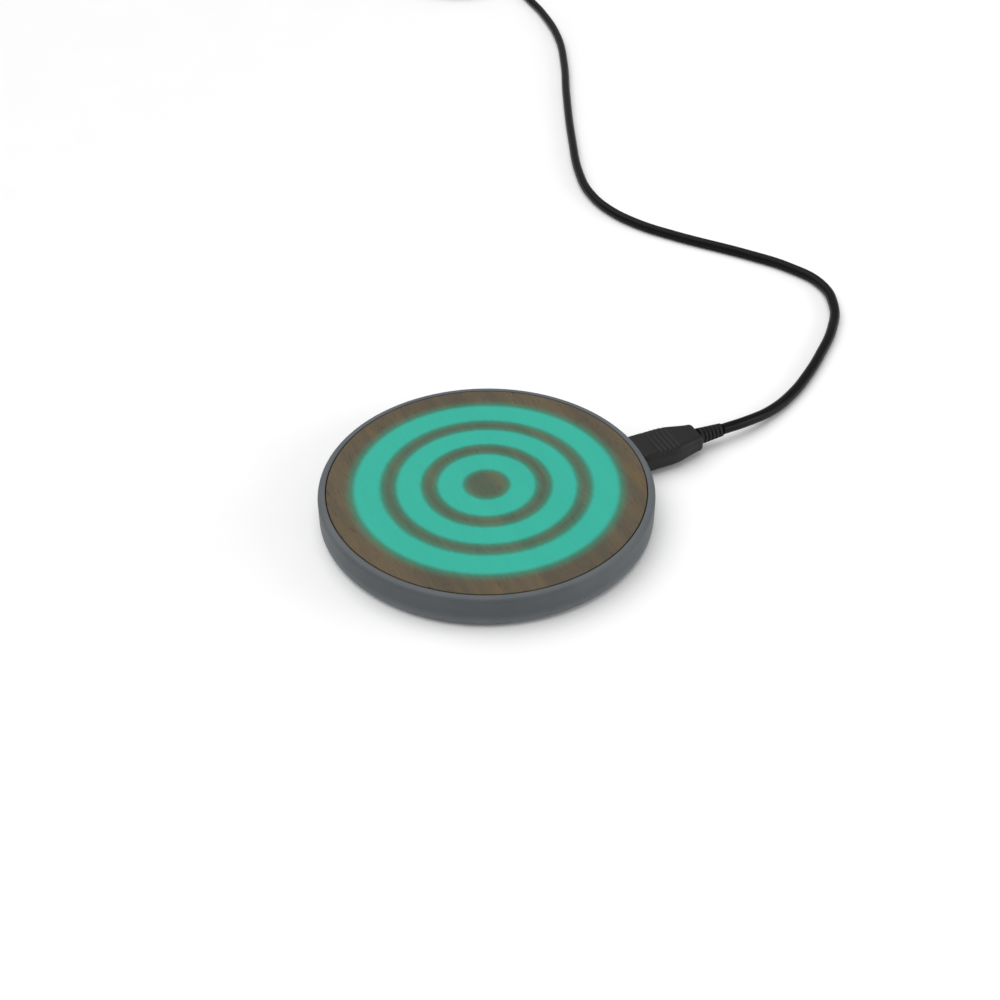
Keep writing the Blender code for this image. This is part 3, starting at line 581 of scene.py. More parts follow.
def copper_finish():
    """Enamelled copper: warm, glossy, with drawn lines and darker spots of varnish."""
    it = Finish("copper_wire", Coat_Roughness=0.12, IOR=1.5)
    x, y, z = it.parts_of(it.place)
    angle = y.maths("ARCTAN2", x)
    strands = (angle * 210.0 + it.radius() * 9000.0 + z * 9000.0).sine() * 0.5 + 0.5
    varnish = it.noise(500, detail=3.0)
    colour = it.mix(varnish.steps(0.35, 0.7), tone(200, 108, 52), tone(150, 70, 30))
    colour = it.mix((1.0 - strands) * 0.35, colour, tone(88, 38, 16))
    it.set(Base_Color=colour, Metallic=0.85 - varnish * 0.1, Roughness=varnish * 0.15 + 0.24)
    it.set(Coat_Weight=0.5 + varnish * 0.4, Normal=it.bump(strands, 0.00008, 0.6))
    return it.material


def board_finish():
    """Green board: mask over ring-shaped copper tracks and bare pads, with through holes drawn as dark
    spots of painted shade.
    """
    it = Finish("circuit_board", IOR=1.5, Coat_Roughness=0.2)
    x, y, z = it.parts_of(it.place)
    reach = it.radius() * 1000.0
    angle = y.maths("ARCTAN2", x)
    sector = it.noise(it.node("ShaderNodeCombineXYZ", {}, {0: angle * 1.6, 1: 0.0, 2: 0.0}), 2.0, 0.0)
    ripple = (reach * 7.5 + sector * 9.0).sine()
    tracks = ripple.steps(0.25, 0.45) * sector.steps(0.42, 0.47)
    # Through holes are not cut: dark spots of painted shade stand in for them, and the bump sinks them a
    # little.
    painted_dark_holes = 1.0 - it.cells(520).steps(0.10, 0.13)
    rims = it.cells(520).band(0.10, 0.17, 0.01)
    weave = it.noise(1600, detail=2.0)
    colour = it.mix(weave * 0.5, tone(18, 84, 50), tone(10, 62, 36))
    colour = it.mix(tracks * 0.6, colour, tone(44, 122, 74))
    colour = it.mix(rims, colour, tone(206, 176, 110))
    colour = it.mix(painted_dark_holes, colour, tone(12, 14, 12))
    it.set(Base_Color=colour, Metallic=rims * 0.9, Roughness=weave * 0.12 + 0.30)
    it.set(Coat_Weight=0.4 - rims * 0.4)
    it.set(Normal=it.bump(tracks * 0.5 + rims * 0.4 - painted_dark_holes + weave * 0.1, 0.00005, 0.7))
    return it.material


def strap_finish():
    """Woven strap with a looped face."""
    it = Finish("tie_black", IOR=1.4, Sheen_Weight=0.3, Sheen_Roughness=0.5)
    x, y, z = it.parts_of(it.stretched(1.0, 1.0, 1.0, math.radians(-TIE_ANGLE)))
    weft = (y * 9500.0).sine()
    warp = (x * 7500.0 + z * 7500.0).sine()
    loops = it.noise(5200, detail=3.0, roughness=0.7)
    cloth = weft * warp * 0.5 + 0.5
    it.set(Base_Color=it.mix(cloth * 0.5 + loops * 0.5, tone(12, 12, 13), tone(46, 46, 48)))
    it.set(Roughness=loops * 0.15 + 0.78)
    it.set(Normal=it.bump(cloth * 0.5 + loops * 0.8, 0.00012, 0.8))
    return it.material


def ferrite_finish():
    """Sintered ferrite: dark, matt, with pressed grain, fine cracks and glitter."""
    it = Finish("ferrite", IOR=1.8)
    grain = it.noise(2400, detail=4.0, roughness=0.7)
    crack = it.cells(120, 1.0, "DISTANCE_TO_EDGE").steps(0.0, 0.012)
    glints = it.cells(3800).steps(0.0, 0.14)
    colour = it.mix(grain.steps(0.3, 0.7), tone(38, 38, 41), tone(58, 58, 61))
    colour = it.mix((1.0 - crack) * 0.5, colour, tone(16, 16, 18))
    it.set(Base_Color=colour, Metallic=(1.0 - glints) * 0.6, Roughness=grain * 0.25 + 0.5)
    it.set(Normal=it.bump(grain + crack * 0.6, 0.00006, 0.6))
    return it.material


def ceramic_finish():
    """Capacitor body: brown ceramic with tinned ends."""
    it = Finish("capacitor_ceramic", IOR=1.6)
    speck = it.noise(4200, detail=3.0)
    cloud = it.noise(700, detail=2.0)
    it.set(Base_Color=it.mix(speck.steps(0.3, 0.75), tone(158, 126, 92), tone(124, 94, 64)))
    it.set(Roughness=cloud * 0.2 + 0.32, Normal=it.bump(speck, 0.00002, 0.5))
    return it.material


LOOKS = {
    "casing": casing_finish(),
    "wood": wood_finish(),
    "guide": guide_finish(),
    "lamp": lamp_finish(),
    "copper": copper_finish(),
    "board": board_finish(),
    "ferrite": ferrite_finish(),
    "ceramic": ceramic_finish(),
    "cord": cord_finish(),
    "strap": strap_finish(),
    "grip": moulded_finish("grip_black", tone(19, 18, 18), tone(27, 26, 26), 0.42, 4200.0),
    "relief": moulded_finish("relief_black", tone(16, 15, 15), tone(24, 23, 23), 0.5, 3600.0),
    "cover": moulded_finish("cover_black", tone(40, 42, 45), tone(52, 54, 57), 0.55, 2600.0, 5e-5),
    "rubber": moulded_finish("ring_rubber", tone(26, 26, 28), tone(38, 38, 40), 0.78, 3000.0, 6e-5),
    "package": moulded_finish("chip_package", tone(30, 30, 32), tone(42, 42, 44), 0.5, 6000.0),
    "tongue": moulded_finish("connector_plastic", tone(22, 22, 24), tone(34, 34, 36), 0.45, 5000.0),
    "insert": moulded_finish("insert_white", tone(226, 226, 222), tone(206, 206, 200), 0.4, 5000.0),
    "plated": metal_finish("connector_steel", tone(206, 206, 208), tone(166, 167, 170), 0.18),
    "screw": metal_finish("screw_steel", tone(150, 152, 155), tone(104, 106, 110), 0.26),
    "tin": metal_finish("solder_tin", tone(214, 214, 216), tone(176, 177, 180), 0.25),
    "gold": metal_finish("contact_gold", tone(236, 200, 120), tone(206, 160, 78), 0.16),
}


def dress(piece, look, body, replaces=()):
    """Gives a piece its finish and its body, and says which nodes it stands for."""
    piece.data.materials.clear()
    piece.data.materials.append(LOOKS[look])
    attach(piece, body)
    if replaces:
        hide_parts(*replaces)
    return piece


def second_look(piece, look, test, place=Matrix()):
    """Puts another finish on the faces whose middle, in the frame of a place, passes a test."""
    back = place.inverted()
    piece.data.materials.append(LOOKS[look])
    index = len(piece.data.materials) - 1
    for face in piece.data.polygons:
        if test(back @ face.center):
            face.material_index = index


# Cord

LEAD_ROUTE = (
    (0.0, 0.0, SOCKET_Z / MM), (9.0, 1.0, SOCKET_Z / MM - 0.6), (19.5, 4.0, 2.2), (29.7, 8.8, 1.65),
    (39.5, 15.1, 1.65), (50.5, 23.7, 1.65), (60.9, 33.1, 1.65), (69.3, 44.2, 1.65),
    (73.1, 57.5, 1.65), (69.2, 70.9, 1.65), (61.9, 82.8, 1.65), (45.2, 105.3, 1.65),
    (38.0, 117.3, 1.65), (33.7, 130.5, 1.65), (33.3, 144.5, 1.65), (36.4, 158.1, 1.65),
    (46.6, 184.2, 1.65), (63.6, 222.6, 1.65), (75.5, 247.9, 1.65), (85.7, 274.0, 1.65),
    (91.6, 301.3, 1.65), (93.1, 317.0, 1.65), (94.4, 337.0, 1.9),
)
LOW_TURN = CORD_COIL_BOTTOM / MM + 1.6
HIGH_TURN = LOW_TURN + 3.2
COIL_STATIONS = (  # degrees wound, radius and height in millimetres
    (0, 20.8, LOW_TURN), (290, 20.8, LOW_TURN), (360, 17.6, LOW_TURN), (650, 17.6, LOW_TURN),
    (720, 14.4, LOW_TURN), (1000, 14.4, LOW_TURN), (1040, 13.7, (LOW_TURN + HIGH_TURN) / 2),
    (1080, 14.4, HIGH_TURN), (1370, 14.4, HIGH_TURN), (1440, 17.6, HIGH_TURN),
    (1730, 17.6, HIGH_TURN), (1800, 20.8, HIGH_TURN), (2080, 20.8, HIGH_TURN),
    (2160, 23.6, HIGH_TURN - 0.4), (2230, 24.0, LOW_TURN + 0.2),
)
TAIL_ROUTE = (
    (71.0, 383.2, 1.9), (62.5, 385.9, 1.7), (54.5, 387.6, 1.8), (46.5, 389.9, 2.2),
    (39.5, 392.3, 3.0), (31.0, 395.3, 3.8),
)


def coil_points(step=24.0):
    """Three turns inwards on the table and three outwards on top of them."""
    points = []
    last = COIL_STATIONS[-1][0]
    count = round(last / step)
    for i in range(count + 1):
        wound = last * i / count
        for (a, r1, z1), (b, r2, z2) in zip(COIL_STATIONS, COIL_STATIONS[1:]):
            if a <= wound <= b:
                share = (wound - a) / (b - a)
                share = share * share * (3.0 - 2.0 * share)
                x, y = polar((r1 + (r2 - r1) * share) * MM, wound)
                height = (z1 + (z2 - z1) * share) * MM
                points.append(CORD_COIL_AT + Vector((x, y, height)))
                break
    return points


def strand(name, points, radius, steps=6, sides=8):
    """A round curve through points."""
    curve = bpy.data.curves.new(name, "CURVE")
    curve.dimensions = "3D"
    curve.resolution_u = steps
    curve.render_resolution_u = steps
    curve.bevel_depth = radius
    curve.bevel_resolution = sides // 2
    curve.use_fill_caps = True
    spline = curve.splines.new("BEZIER")
    spline.bezier_points.add(len(points) - 1)
    for knot, point in zip(spline.bezier_points, points):
        knot.co = point
        knot.handle_left_type = knot.handle_right_type = "AUTO"
    piece = bpy.data.objects.new(name, curve)
    bpy.context.scene.collection.objects.link(piece)
    return piece


def laid_from(route):
    return [Vector((CORD_START + x * MM, y * MM, z * MM)) for x, y, z in route]


cord_points = laid_from(LEAD_ROUTE) + coil_points() + laid_from(TAIL_ROUTE)
cord = strand("cord", cord_points, CORD_RADIUS)


# Plug, strain reliefs and far plug


def ribbed_relief(name, start_radius, end_radius, length, ribs=6):
    """A tapered sleeve along +Z from its big end, with grooves between its ribs."""
    piece = drum(name, start_radius, 0.0, 0.02 * MM, sides=48)
    pick_cap(0.02 * MM)
    steps = []
    for rib in range(ribs):
        low = rib / ribs
        high = (rib + 0.62) / ribs
        r1 = start_radius + (end_radius - start_radius) * low
        r2 = start_radius + (end_radius - start_radius) * high
        groove = 0.32 * MM
        top = high * length
        steps += [
            (r1, low * length + 0.06 * MM), (r2, top),
            (r2 - groove * 0.5, top + 0.05 * MM), (r2 - groove, top + 0.12 * MM),
            (r2 - groove, (rib + 1) / ribs * length - 0.06 * MM),
        ]
    steps.append((end_radius, length - 0.05 * MM))
    steps.append((end_radius - 0.06 * MM, length))
    carry(steps, (start_radius, 0.02 * MM))
    return done(piece, 50.0)


def grip_of(name, width, height, length, pocket):
    """A hand-sized moulding along +X: sides that narrow towards its end, and thumb grooves."""
    piece = lozenge(name, width, height, 0.0, length, 0.0, 2.0 * MM, 10)
    for slice_number in range(5, 59):
        cut_at = length * slice_number / 64
        bpy.ops.mesh.select_all(action="SELECT")
        bpy.ops.mesh.bisect(plane_co=(cut_at, 0.0, 0.0), plane_no=(1.0, 0.0, 0.0))
    pick("EDGE", lambda middle, way: abs(middle.x - length) < NEAR)
    bevel(1.4 * MM, 7)
    pick("EDGE", lambda middle, way: abs(middle.x) < NEAR)
    bevel(0.35 * MM, 4)
    bpy.ops.object.mode_set(mode="OBJECT")
    for corner in piece.data.vertices:
        share = corner.co.x / length
        narrowing = min(1.0, max(0.0, (share - 0.45) / 0.55))
        narrowing = narrowing * narrowing * (3.0 - 2.0 * narrowing)
        corner.co.y *= 1.0 - 0.34 * narrowing
        corner.co.z *= 1.0 - 0.16 * narrowing
        if 0.22 < share < 0.58 and abs(corner.co.z) > height * 0.40:
            ripple = math.sin((share - 0.22) / 0.36 * math.pi * 5.0) ** 2
            corner.co.z *= 1.0 - 0.075 * ripple
    bpy.ops.object.mode_set(mode="EDIT")
    done(piece, 40.0)
    mouth_width, mouth_height, mouth_round, depth = pocket
    mouth = lozenge("mouth", mouth_width, mouth_height, -depth, depth, 0.0, mouth_round)
    cut(piece, mouth)
    smooth(40.0)
    return piece


def lying(piece, x, z):
    """Lays a piece made along +Z down along +X."""
    lay = Matrix(((0, 0, 1, 0), (1, 0, 0, 0), (0, 1, 0, 0), (0, 0, 0, 1)))
    return moved(piece, shift(x, 0.0, z) @ lay)


relief = ribbed_relief("strain_relief", 2.4 * MM, 1.9 * MM, RELIEF_HIGH.x - RELIEF_LOW.x)
lying(relief, RELIEF_LOW.x, SOCKET_Z)
dress(relief, "relief", "cable", ["plug_relief"])

grip_length = GRIP_HIGH.x - GRIP_LOW.x
grip = grip_of("plug_handle", *mm(12.0, 6.2), grip_length, mm(8.8, 3.0, 1.4, 1.6))
moved(grip, shift(GRIP_LOW.x, 0.0, SOCKET_Z))
dress(grip, "grip", "cable", ["plug_grip"])

shell_low, shell_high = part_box("plug_shell")
plug_shell = tube_of(
    "plug_tip", *mm(8.2, 2.4, 0.35), shell_low.x, shell_high.x, SOCKET_Z, *mm(1.15, 0.1)
)
dress(plug_shell, "plated", "cable", ["plug_shell"])

# The far plug is made at the middle of the frame, along +X, and then laid in its place
far_place = (
    Matrix.Translation(FAR_PLUG_AT) @ turn(FAR_PLUG_TURN)
)
far_relief = ribbed_relief("far_strain_relief", 2.4 * MM, 1.9 * MM, 7.5 * MM)
moved(far_relief, shift(0.0, 0.0, 7.8 * MM) @ Matrix.Rotation(math.pi, 4, "X"))
lying(far_relief, 0.0, 0.0)
moved(far_relief, far_place)
dress(far_relief, "relief", "cable", ["far_relief"])

FAR_GRIP_START = 8.1 * MM
far_grip = grip_of("far_handle", *mm(15.6, 7.6, 26.0), mm(12.6, 5.1, 0.9, 2.0))
moved(far_grip, shift(26.0 * MM, 0.0, 0.0) @ Matrix.Rotation(math.pi, 4, "Z"))
moved(far_grip, far_place @ shift(FAR_GRIP_START, 0.0, 0.0))
dress(far_grip, "grip", "cable", ["far_grip"])

FAR_SHELL_START = FAR_GRIP_START + 24.3 * MM
FAR_SHELL_END = FAR_SHELL_START + 13.5 * MM
far_shell = tube_of(
    "far_plug_shell", *mm(12.0, 4.5, 0.3), FAR_SHELL_START, FAR_SHELL_END, 0.0, *mm(0.6, 0.1)
)
for side in (-1, 1):
    window = slab(
        "window",
        (FAR_SHELL_START + 7.2 * MM, side * 3.0 * MM - 1.1 * MM, 0.0),
        (FAR_SHELL_START + 9.3 * MM, side * 3.0 * MM + 1.1 * MM, 4.0 * MM),
    )
    round_along("Z", 0.3 * MM, 3)
    done(window)
    both = copied(window, "window_below", shift(0.0, 0.0, -4.0 * MM))
    cut(far_shell, window)
    cut(far_shell, both)
smooth(35.0)
moved(far_shell, far_place)
dress(far_shell, "plated", "cable", ["far_shell"])

insert = lozenge(
    "far_plug_insert", *mm(11.0, 1.8), FAR_SHELL_START, FAR_SHELL_END - GAP, *mm(0.85, 0.2), 3
)
done(insert)
for number in range(4):
    y = (number - 1.5) * 2.2 * MM
    channel = slab(
        "channel",
        (FAR_SHELL_START + 5.0 * MM, y - 0.55 * MM, -0.3 * MM),
        (FAR_SHELL_END, y + 0.55 * MM, 0.12 * MM),
    )
    cut(insert, channel)
moved(insert, far_place)
dress(insert, "insert", "cable", ["far_insert"])
contacts = []
for number in range(4):
    y = (number - 1.5) * 2.2 * MM
    contact = slab(
        f"contact_{number}",
        (FAR_SHELL_START + 5.2 * MM, y - 0.45 * MM, -0.08 * MM),
        (FAR_SHELL_END - 0.9 * MM, y + 0.45 * MM, 0.11 * MM),
    )
    pick("EDGE", lambda middle, way: abs(middle.z + 0.08 * MM) < NEAR)
    bevel(0.06 * MM, 2)
    contacts.append(done(contact))
far_contacts = join("far_plug_contacts", contacts)
moved(far_contacts, far_place)
dress(far_contacts, "gold", "cable")


# Tie round the coil


def make_tie():
    """A strap in a loop: its overlapping end lies on the outside."""
    inner, outer = 12.8 * MM, 22.4 * MM
    low, high = CORD_COIL_BOTTOM - 0.3 * MM, CORD_COIL_BOTTOM + 6.7 * MM
    piece = slab("strap", (inner - 0.5 * MM, -3.0 * MM, low), (outer + 0.5 * MM, 3.0 * MM, high))
    round_along("Y", 1.2 * MM, 6)
    pick("FACE", lambda middle, normal: abs(normal.y) > 0.99)
    open_up()
    bpy.ops.mesh.select_all(action="SELECT")
    bpy.ops.mesh.subdivide(number_cuts=2)
    bpy.ops.object.mode_set(mode="OBJECT")
    applied(piece, "SOLIDIFY", thickness=0.5 * MM, offset=1.0)
    applied(piece, "BEVEL", width=0.12 * MM, segments=2)
    bpy.ops.object.mode_set(mode="EDIT")
    done(piece, 50.0)
    flap = slab(
        "flap", (14.6 * MM, -2.9 * MM, high + 0.5 * MM), (22.0 * MM, 2.9 * MM, high + 0.78 * MM)
    )
    pick("EDGE", lambda middle, way: abs(middle.x - 14.6 * MM) < NEAR and abs(way.z) > 0.99)
    bevel(1.6 * MM, 6)
    pick("EDGE", lambda middle, way: abs(middle.z - high - 0.78 * MM) < NEAR)
    bevel(0.1 * MM, 2)
    done(flap, 50.0)
    strap = join("cord_strap", [piece, flap])
    place = Matrix.Translation(CORD_COIL_AT) @ turn(TIE_ANGLE)
    return moved(strap, place)


strap = make_tie()
dress(strap, "strap", "cable", ["cord_tie"])

dress(cord, "cord", "cable", ["cord_lead", "cord_coil", "cord_tail"])


# Casing


def make_casing():
    """Turned side wall with a soft rim, the ledge for the top, screw bosses and the plug's opening."""
    piece = drum("casing", PAD, PAD_BOTTOM, PAD_TOP, sides=320)
    pick_cap(PAD_BOTTOM)
    open_up()
    pick_cap(PAD_TOP)
    carry(
        (
            (OPENING, PAD_TOP), (OPENING, LEDGE_TOP), (LEDGE_INNER, LEDGE_TOP),
            (LEDGE_INNER, LEDGE_BOTTOM), (INNER_WALL, LEDGE_BOTTOM), (INNER_WALL, PAD_BOTTOM),
        ),
        (PAD, PAD_TOP),
    )
    open_up()
    pick(
        "EDGE",
        lambda middle, way: abs(middle.z - PAD_BOTTOM) < NEAR and abs(way.z) < 0.01,
    )
    bpy.ops.mesh.bridge_edge_loops()
    round_off(PAD, PAD_TOP, 1.55 * MM, 10)
    round_off(PAD, PAD_BOTTOM, 1.2 * MM, 8)
    round_off(OPENING, PAD_TOP, 0.25 * MM, 4)
    round_off(LEDGE_INNER, LEDGE_TOP, 0.2 * MM, 2)
    done(piece)
    mouth = lozenge("mouth", 9.5 * MM, 3.7 * MM, PAD - 4.0 * MM, PAD + 1.0 * MM, SOCKET_Z, 1.8 * MM)
    cut(piece, mouth)
    bosses = []
    for number in range(4):
        at = polar(SCREW_CIRCLE, 45.0 + 90.0 * number)
        boss = drum(f"boss_{number}", 2.2 * MM, 2.8 * MM, LEDGE_BOTTOM, at, 32)
        pick_cap(2.8 * MM, at=at)
        carry(
            ((1.35 * MM, 2.8 * MM), (1.1 * MM, 3.05 * MM), (1.1 * MM, LEDGE_BOTTOM - 0.4 * MM)),
            (2.2 * MM, 2.8 * MM), at,
        )
        round_off(2.2 * MM, 2.8 * MM, 0.2 * MM, 2, at)
        bosses.append(done(boss))
    return join("casing", [piece, *bosses])


casing = make_casing()
dress(casing, "casing", "pad", ["housing"])


# Top


def make_top():
    """The wooden disc: eased edge above, and a shallow step below that centres it on the ledge."""
    piece = drum("veneer_top", TOP_RADIUS, TOP_BOTTOM, PAD_TOP, sides=160)
    pick_cap(TOP_BOTTOM)
    carry(
        ((38.0 * MM, TOP_BOTTOM), (37.6 * MM, TOP_BOTTOM + 0.15 * MM)),
        (TOP_RADIUS, TOP_BOTTOM),
    )
    round_off(TOP_RADIUS, PAD_TOP, 0.22 * MM, 4)
    round_off(TOP_RADIUS, TOP_BOTTOM, 0.15 * MM, 2)
    pick_cap(PAD_TOP)
    for width in mm(2.46, 16.0, 16.0):
        bpy.ops.mesh.inset(thickness=width)
    bpy.ops.mesh.poke()
    return done(piece)


top = make_top()
dress(top, "wood", "pad", ["wood_top"])


# Light guide and lamps


def make_guide():
    """Frosted plate with three raised rings above and a down-turned edge over the lamps."""
    radius = 36.2 * MM
    bottom, plate_top, rib_top = 5.8 * MM, 7.0 * MM, GUIDE_HIGH.z
    piece = drum("glow_plate", radius, bottom, plate_top, sides=144)
    pick_cap(plate_top)
    steps = []
    for middle in (31.2, 20.1, 9.0):
        half = 2.6
        steps += [
            ((middle + half) * MM, plate_top), ((middle + half - 0.2) * MM, rib_top - 0.1 * MM),
            ((middle + half - 0.45) * MM, rib_top), ((middle - half + 0.45) * MM, rib_top),
            ((middle - half + 0.2) * MM, rib_top - 0.1 * MM), ((middle - half) * MM, plate_top),
        ]
    carry(steps, (radius, plate_top))
    pick_cap(bottom)
    collar = GUIDE_LOW.z
    carry(
        ((radius - 0.2 * MM, collar + 0.1 * MM), (radius - 0.35 * MM, collar),
         (radius - 3.3 * MM, collar), (radius - 3.5 * MM, collar + 0.1 * MM),
         (radius - 3.5 * MM, bottom)),
        (radius, bottom),
    )
    round_off(radius, plate_top, 0.25 * MM, 3)
    return done(piece, 40.0)


guide = make_guide()
dress(guide, "guide", "pad", ["light_guide"])


def make_lamp(name, at):
    """A lamp lying along Y: white body with a dished window, and tinned ends."""
    x, y = at
    low = PARTS_BOTTOM
    body = slab(name, (x - 0.8 * MM, y - 1.25 * MM, low), (x + 0.8 * MM, y + 1.25 * MM, low + 0.85 * MM))
    pick("EDGE", lambda middle, way: abs(way.z) > 0.99 or middle.z > low + 0.8 * MM)
    bevel(0.12 * MM, 3)
    pick("FACE", lambda middle, normal: normal.z > 0.99 and middle.z > low + 0.8 * MM)
    bpy.ops.mesh.inset(thickness=0.22 * MM)
    pull(0.0, 0.0, -0.16 * MM)
    bpy.ops.mesh.inset(thickness=0.16 * MM)
    done(body)
    dome = drum("dome", 0.62 * MM, low + 0.6 * MM, low + 0.72 * MM, at, 24)
    pick_cap(low + 0.72 * MM, at=at)
    carry(
        ((0.56 * MM, low + 0.84 * MM), (0.42 * MM, low + 0.94 * MM), (0.22 * MM, low + 0.99 * MM)),
        (0.62 * MM, low + 0.72 * MM), at,
    )
    done(dome, 60.0)
    ends = []
    for side in (-1, 1):
        a, b = sorted((y + side * 1.2 * MM, y + side * 1.6 * MM))
        end = slab("end", (x - 0.7 * MM, a, low), (x + 0.7 * MM, b, low + 0.55 * MM))
        pick("EDGE", lambda middle, way: abs(way.z) < 0.5)
        bevel(0.1 * MM, 3)
        ends.append(done(end))
    lamp = join(name, [body, dome, *ends])
    return lamp


LAMP_CIRCLE = GUIDE_HIGH.x - 1.75 * MM
first_lamp = make_lamp("lamp_1", (LAMP_CIRCLE, 0.0))
for number in range(1, 9):
    angle = 22.5 + 45.0 * (number - 1)
    lamp = copied(first_lamp, f"lamp_of_{number}", turn(angle))
    dress(lamp, "lamp", "pad", [f"led_{number}"])
    second_look(
        lamp, "tin",
        lambda middle: abs(middle.y) > 1.28 * MM and middle.z < PARTS_BOTTOM + 0.56 * MM,
        turn(angle),
    )
bpy.data.objects.remove(first_lamp)


# Winding, ferrite, board and what is on it

COIL_TURNS, COIL_OUTER, COIL_PITCH = 10, 24.0 * MM, 1.3 * MM
COIL_Z = PARTS_BOTTOM + 0.5 * MM


def winding_points():
    """One wire: its outer end, the flat turns, and the inner end led back beneath them."""
    start, sweep = -75.0, COIL_TURNS * 360.0 + 15.0
    x, y = polar(29.0 * MM, start - 6.0)
    points = [Vector((x, y, COIL_Z))]
    count = round(sweep / 360.0 * 30)
    for i in range(count + 1):
        wound = sweep * i / count
        x, y = polar(COIL_OUTER - COIL_PITCH * wound / 360.0, start + wound)
        points.append(Vector((x, y, COIL_Z)))
    inner = COIL_OUTER - COIL_PITCH * sweep / 360.0
    for radius, height, onward in (
        (inner - 0.6 * MM, COIL_Z - 0.1 * MM, 5.0), (inner - 1.3 * MM, (COIL_Z + BOARD_Z) / 2, 7.0),
        (inner - 1.1 * MM, BOARD_Z, 4.0), (inner + 0.3 * MM, BOARD_Z, 0.5),
        (18.0 * MM, BOARD_Z, 0.0), (24.95 * MM, BOARD_Z, 0.0), (25.75 * MM, BOARD_Z + 0.2 * MM, 0.0),
        (26.05 * MM, COIL_Z - 0.2 * MM, 0.0), (26.85 * MM, COIL_Z, 0.0), (29.0 * MM, COIL_Z, 0.0),
    ):
        x, y = polar(radius, -60.0 + onward)
        points.append(Vector((x, y, height)))
    return points


winding = strand("winding", winding_points(), 0.5 * MM, steps=2, sides=8)
dress(winding, "copper", "pad", ["charging_coil"])


def make_joint(name, at):
    """A solder mound that holds a wire's end on the board."""
    low = BOARD_Z + 0.5 * MM
    piece = drum(name, 1.0 * MM, low, low + 0.1 * MM, at, 32)
    pick_cap(low + 0.1 * MM, at=at)
    carry(
        ((0.9 * MM, low + 0.28 * MM), (0.72 * MM, low + 0.55 * MM), (0.62 * MM, low + 0.95 * MM),
         (0.45 * MM, low + 1.22 * MM), (0.2 * MM, low + 1.34 * MM)),
        (1.0 * MM, low + 0.1 * MM), at,
    )
    return dress(done(piece, 60.0), "tin", "pad")


make_joint("joint_outer", polar(28.9 * MM, -81.0))
make_joint("joint_inner", polar(28.9 * MM, -60.0))


def make_shield():
    """The ferrite disc, slotted and opened where the wire's inner end runs back."""
    low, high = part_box("ferrite_shield")
    piece = drum("ferrite_disc", high.x, low.z, high.z, sides=128)
    round_off(high.x, high.z, 0.12 * MM, 2)
    round_off(high.x, low.z, 0.12 * MM, 2)
    done(piece)
    slot = slab("slot", (6.6 * MM, -1.1 * MM, 1.0 * MM), (31.4 * MM, 1.1 * MM, 6.0 * MM))
    done(slot)
    moved(slot, turn(-60.0))
    cut(piece, slot)
    opening = drum("opening", 3.8 * MM, 1.0 * MM, 6.0 * MM, polar(10.4 * MM, -55.0), 40)
    cut(piece, opening)
    smooth(35.0)
    return piece


dress(make_shield(), "ferrite", "pad", ["ferrite_shield"])


def make_board():
    """A ring-shaped board with two arms beside the socket."""
    low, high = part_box("main_board")
    arm = 8.05 * MM
    piece = drum("board_ring", 37.2 * MM, low.z, high.z, sides=160)
    done(piece)
    arms = slab("arms", (32.0 * MM, -arm, low.z), (high.x, arm, high.z))
    round_along("Z", 0.5 * MM, 4, lambda middle: middle.x > 40.0 * MM)
    cut(piece, arms, "UNION")
    notch = slab("notch", (36.9 * MM, -4.95 * MM, 1.0 * MM), (46.0 * MM, 4.95 * MM, 6.0 * MM))
    round_along("Z", 0.5 * MM, 4, lambda middle: middle.x < 40.0 * MM)
    cut(piece, notch)
    middle_hole = drum("middle_hole", 27.0 * MM, 1.0 * MM, 6.0 * MM, sides=160)
    cut(piece, middle_hole)
    smooth(35.0)
    return piece


dress(make_board(), "board", "pad", ["main_board"])


def make_chip(name, node, angle, pins):
    """A moulded package with a bevelled lid, a dot at its first pin and bent legs."""
    low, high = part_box(node)
    centre = (low + high) / 2
    length = {"controller_chip": 5.0, "power_chip": 4.0}[node] * MM
    half = length / 2
    height = high.z - low.z
    side = half - 0.35 * MM
    body = slab(name, (-side, -side, 0.1 * MM), (side, side, height))
    pick("EDGE", lambda middle, way: middle.z > height - NEAR)
    bevel(0.14 * MM, 3)
    pick("EDGE", lambda middle, way: abs(way.z) > 0.7)
    bevel(0.06 * MM, 2)
    done(body)
    corner = half - 1.0 * MM
    dimple = drum(
        "dimple", 0.28 * MM, height - 0.06 * MM, height + 0.2 * MM, (-corner, corner), 24
    )
    cut(body, dimple)
    legs = []
    pitch = (length - 1.6 * MM) / (pins - 1)
    for number in range(pins):
        y = -half + 0.8 * MM + pitch * number
        leg = slab(
            "leg", (half - 0.45 * MM, y - 0.11 * MM, 0.28 * MM),
            (half - 0.18 * MM, y + 0.11 * MM, 0.40 * MM),
        )
        pick("FACE", lambda middle, normal: normal.x > 0.99)
        pull(0.08 * MM, 0.0, -0.24 * MM)
        pull(0.10 * MM, 0.0, -0.03 * MM)
        legs.append(done(leg))
    row = join("legs", legs)
    others = [copied(row, f"legs_{side}", turn(90.0 * side)) for side in (1, 2, 3)]
    whole = join(name, [body, row, *others])
    place = shift(centre.x, centre.y, low.z) @ turn(angle)
    moved(whole, place)
    dress(whole, "package", "pad", [node])
    edge = half - 0.36 * MM
    second_look(
        whole, "tin",
        lambda middle: max(abs(middle.x), abs(middle.y)) > edge and middle.z < 0.41 * MM,
        place,
    )
    return whole


make_chip("controller", "controller_chip", 180.0, 8)
make_chip("power_stage", "power_chip", 152.0, 6)


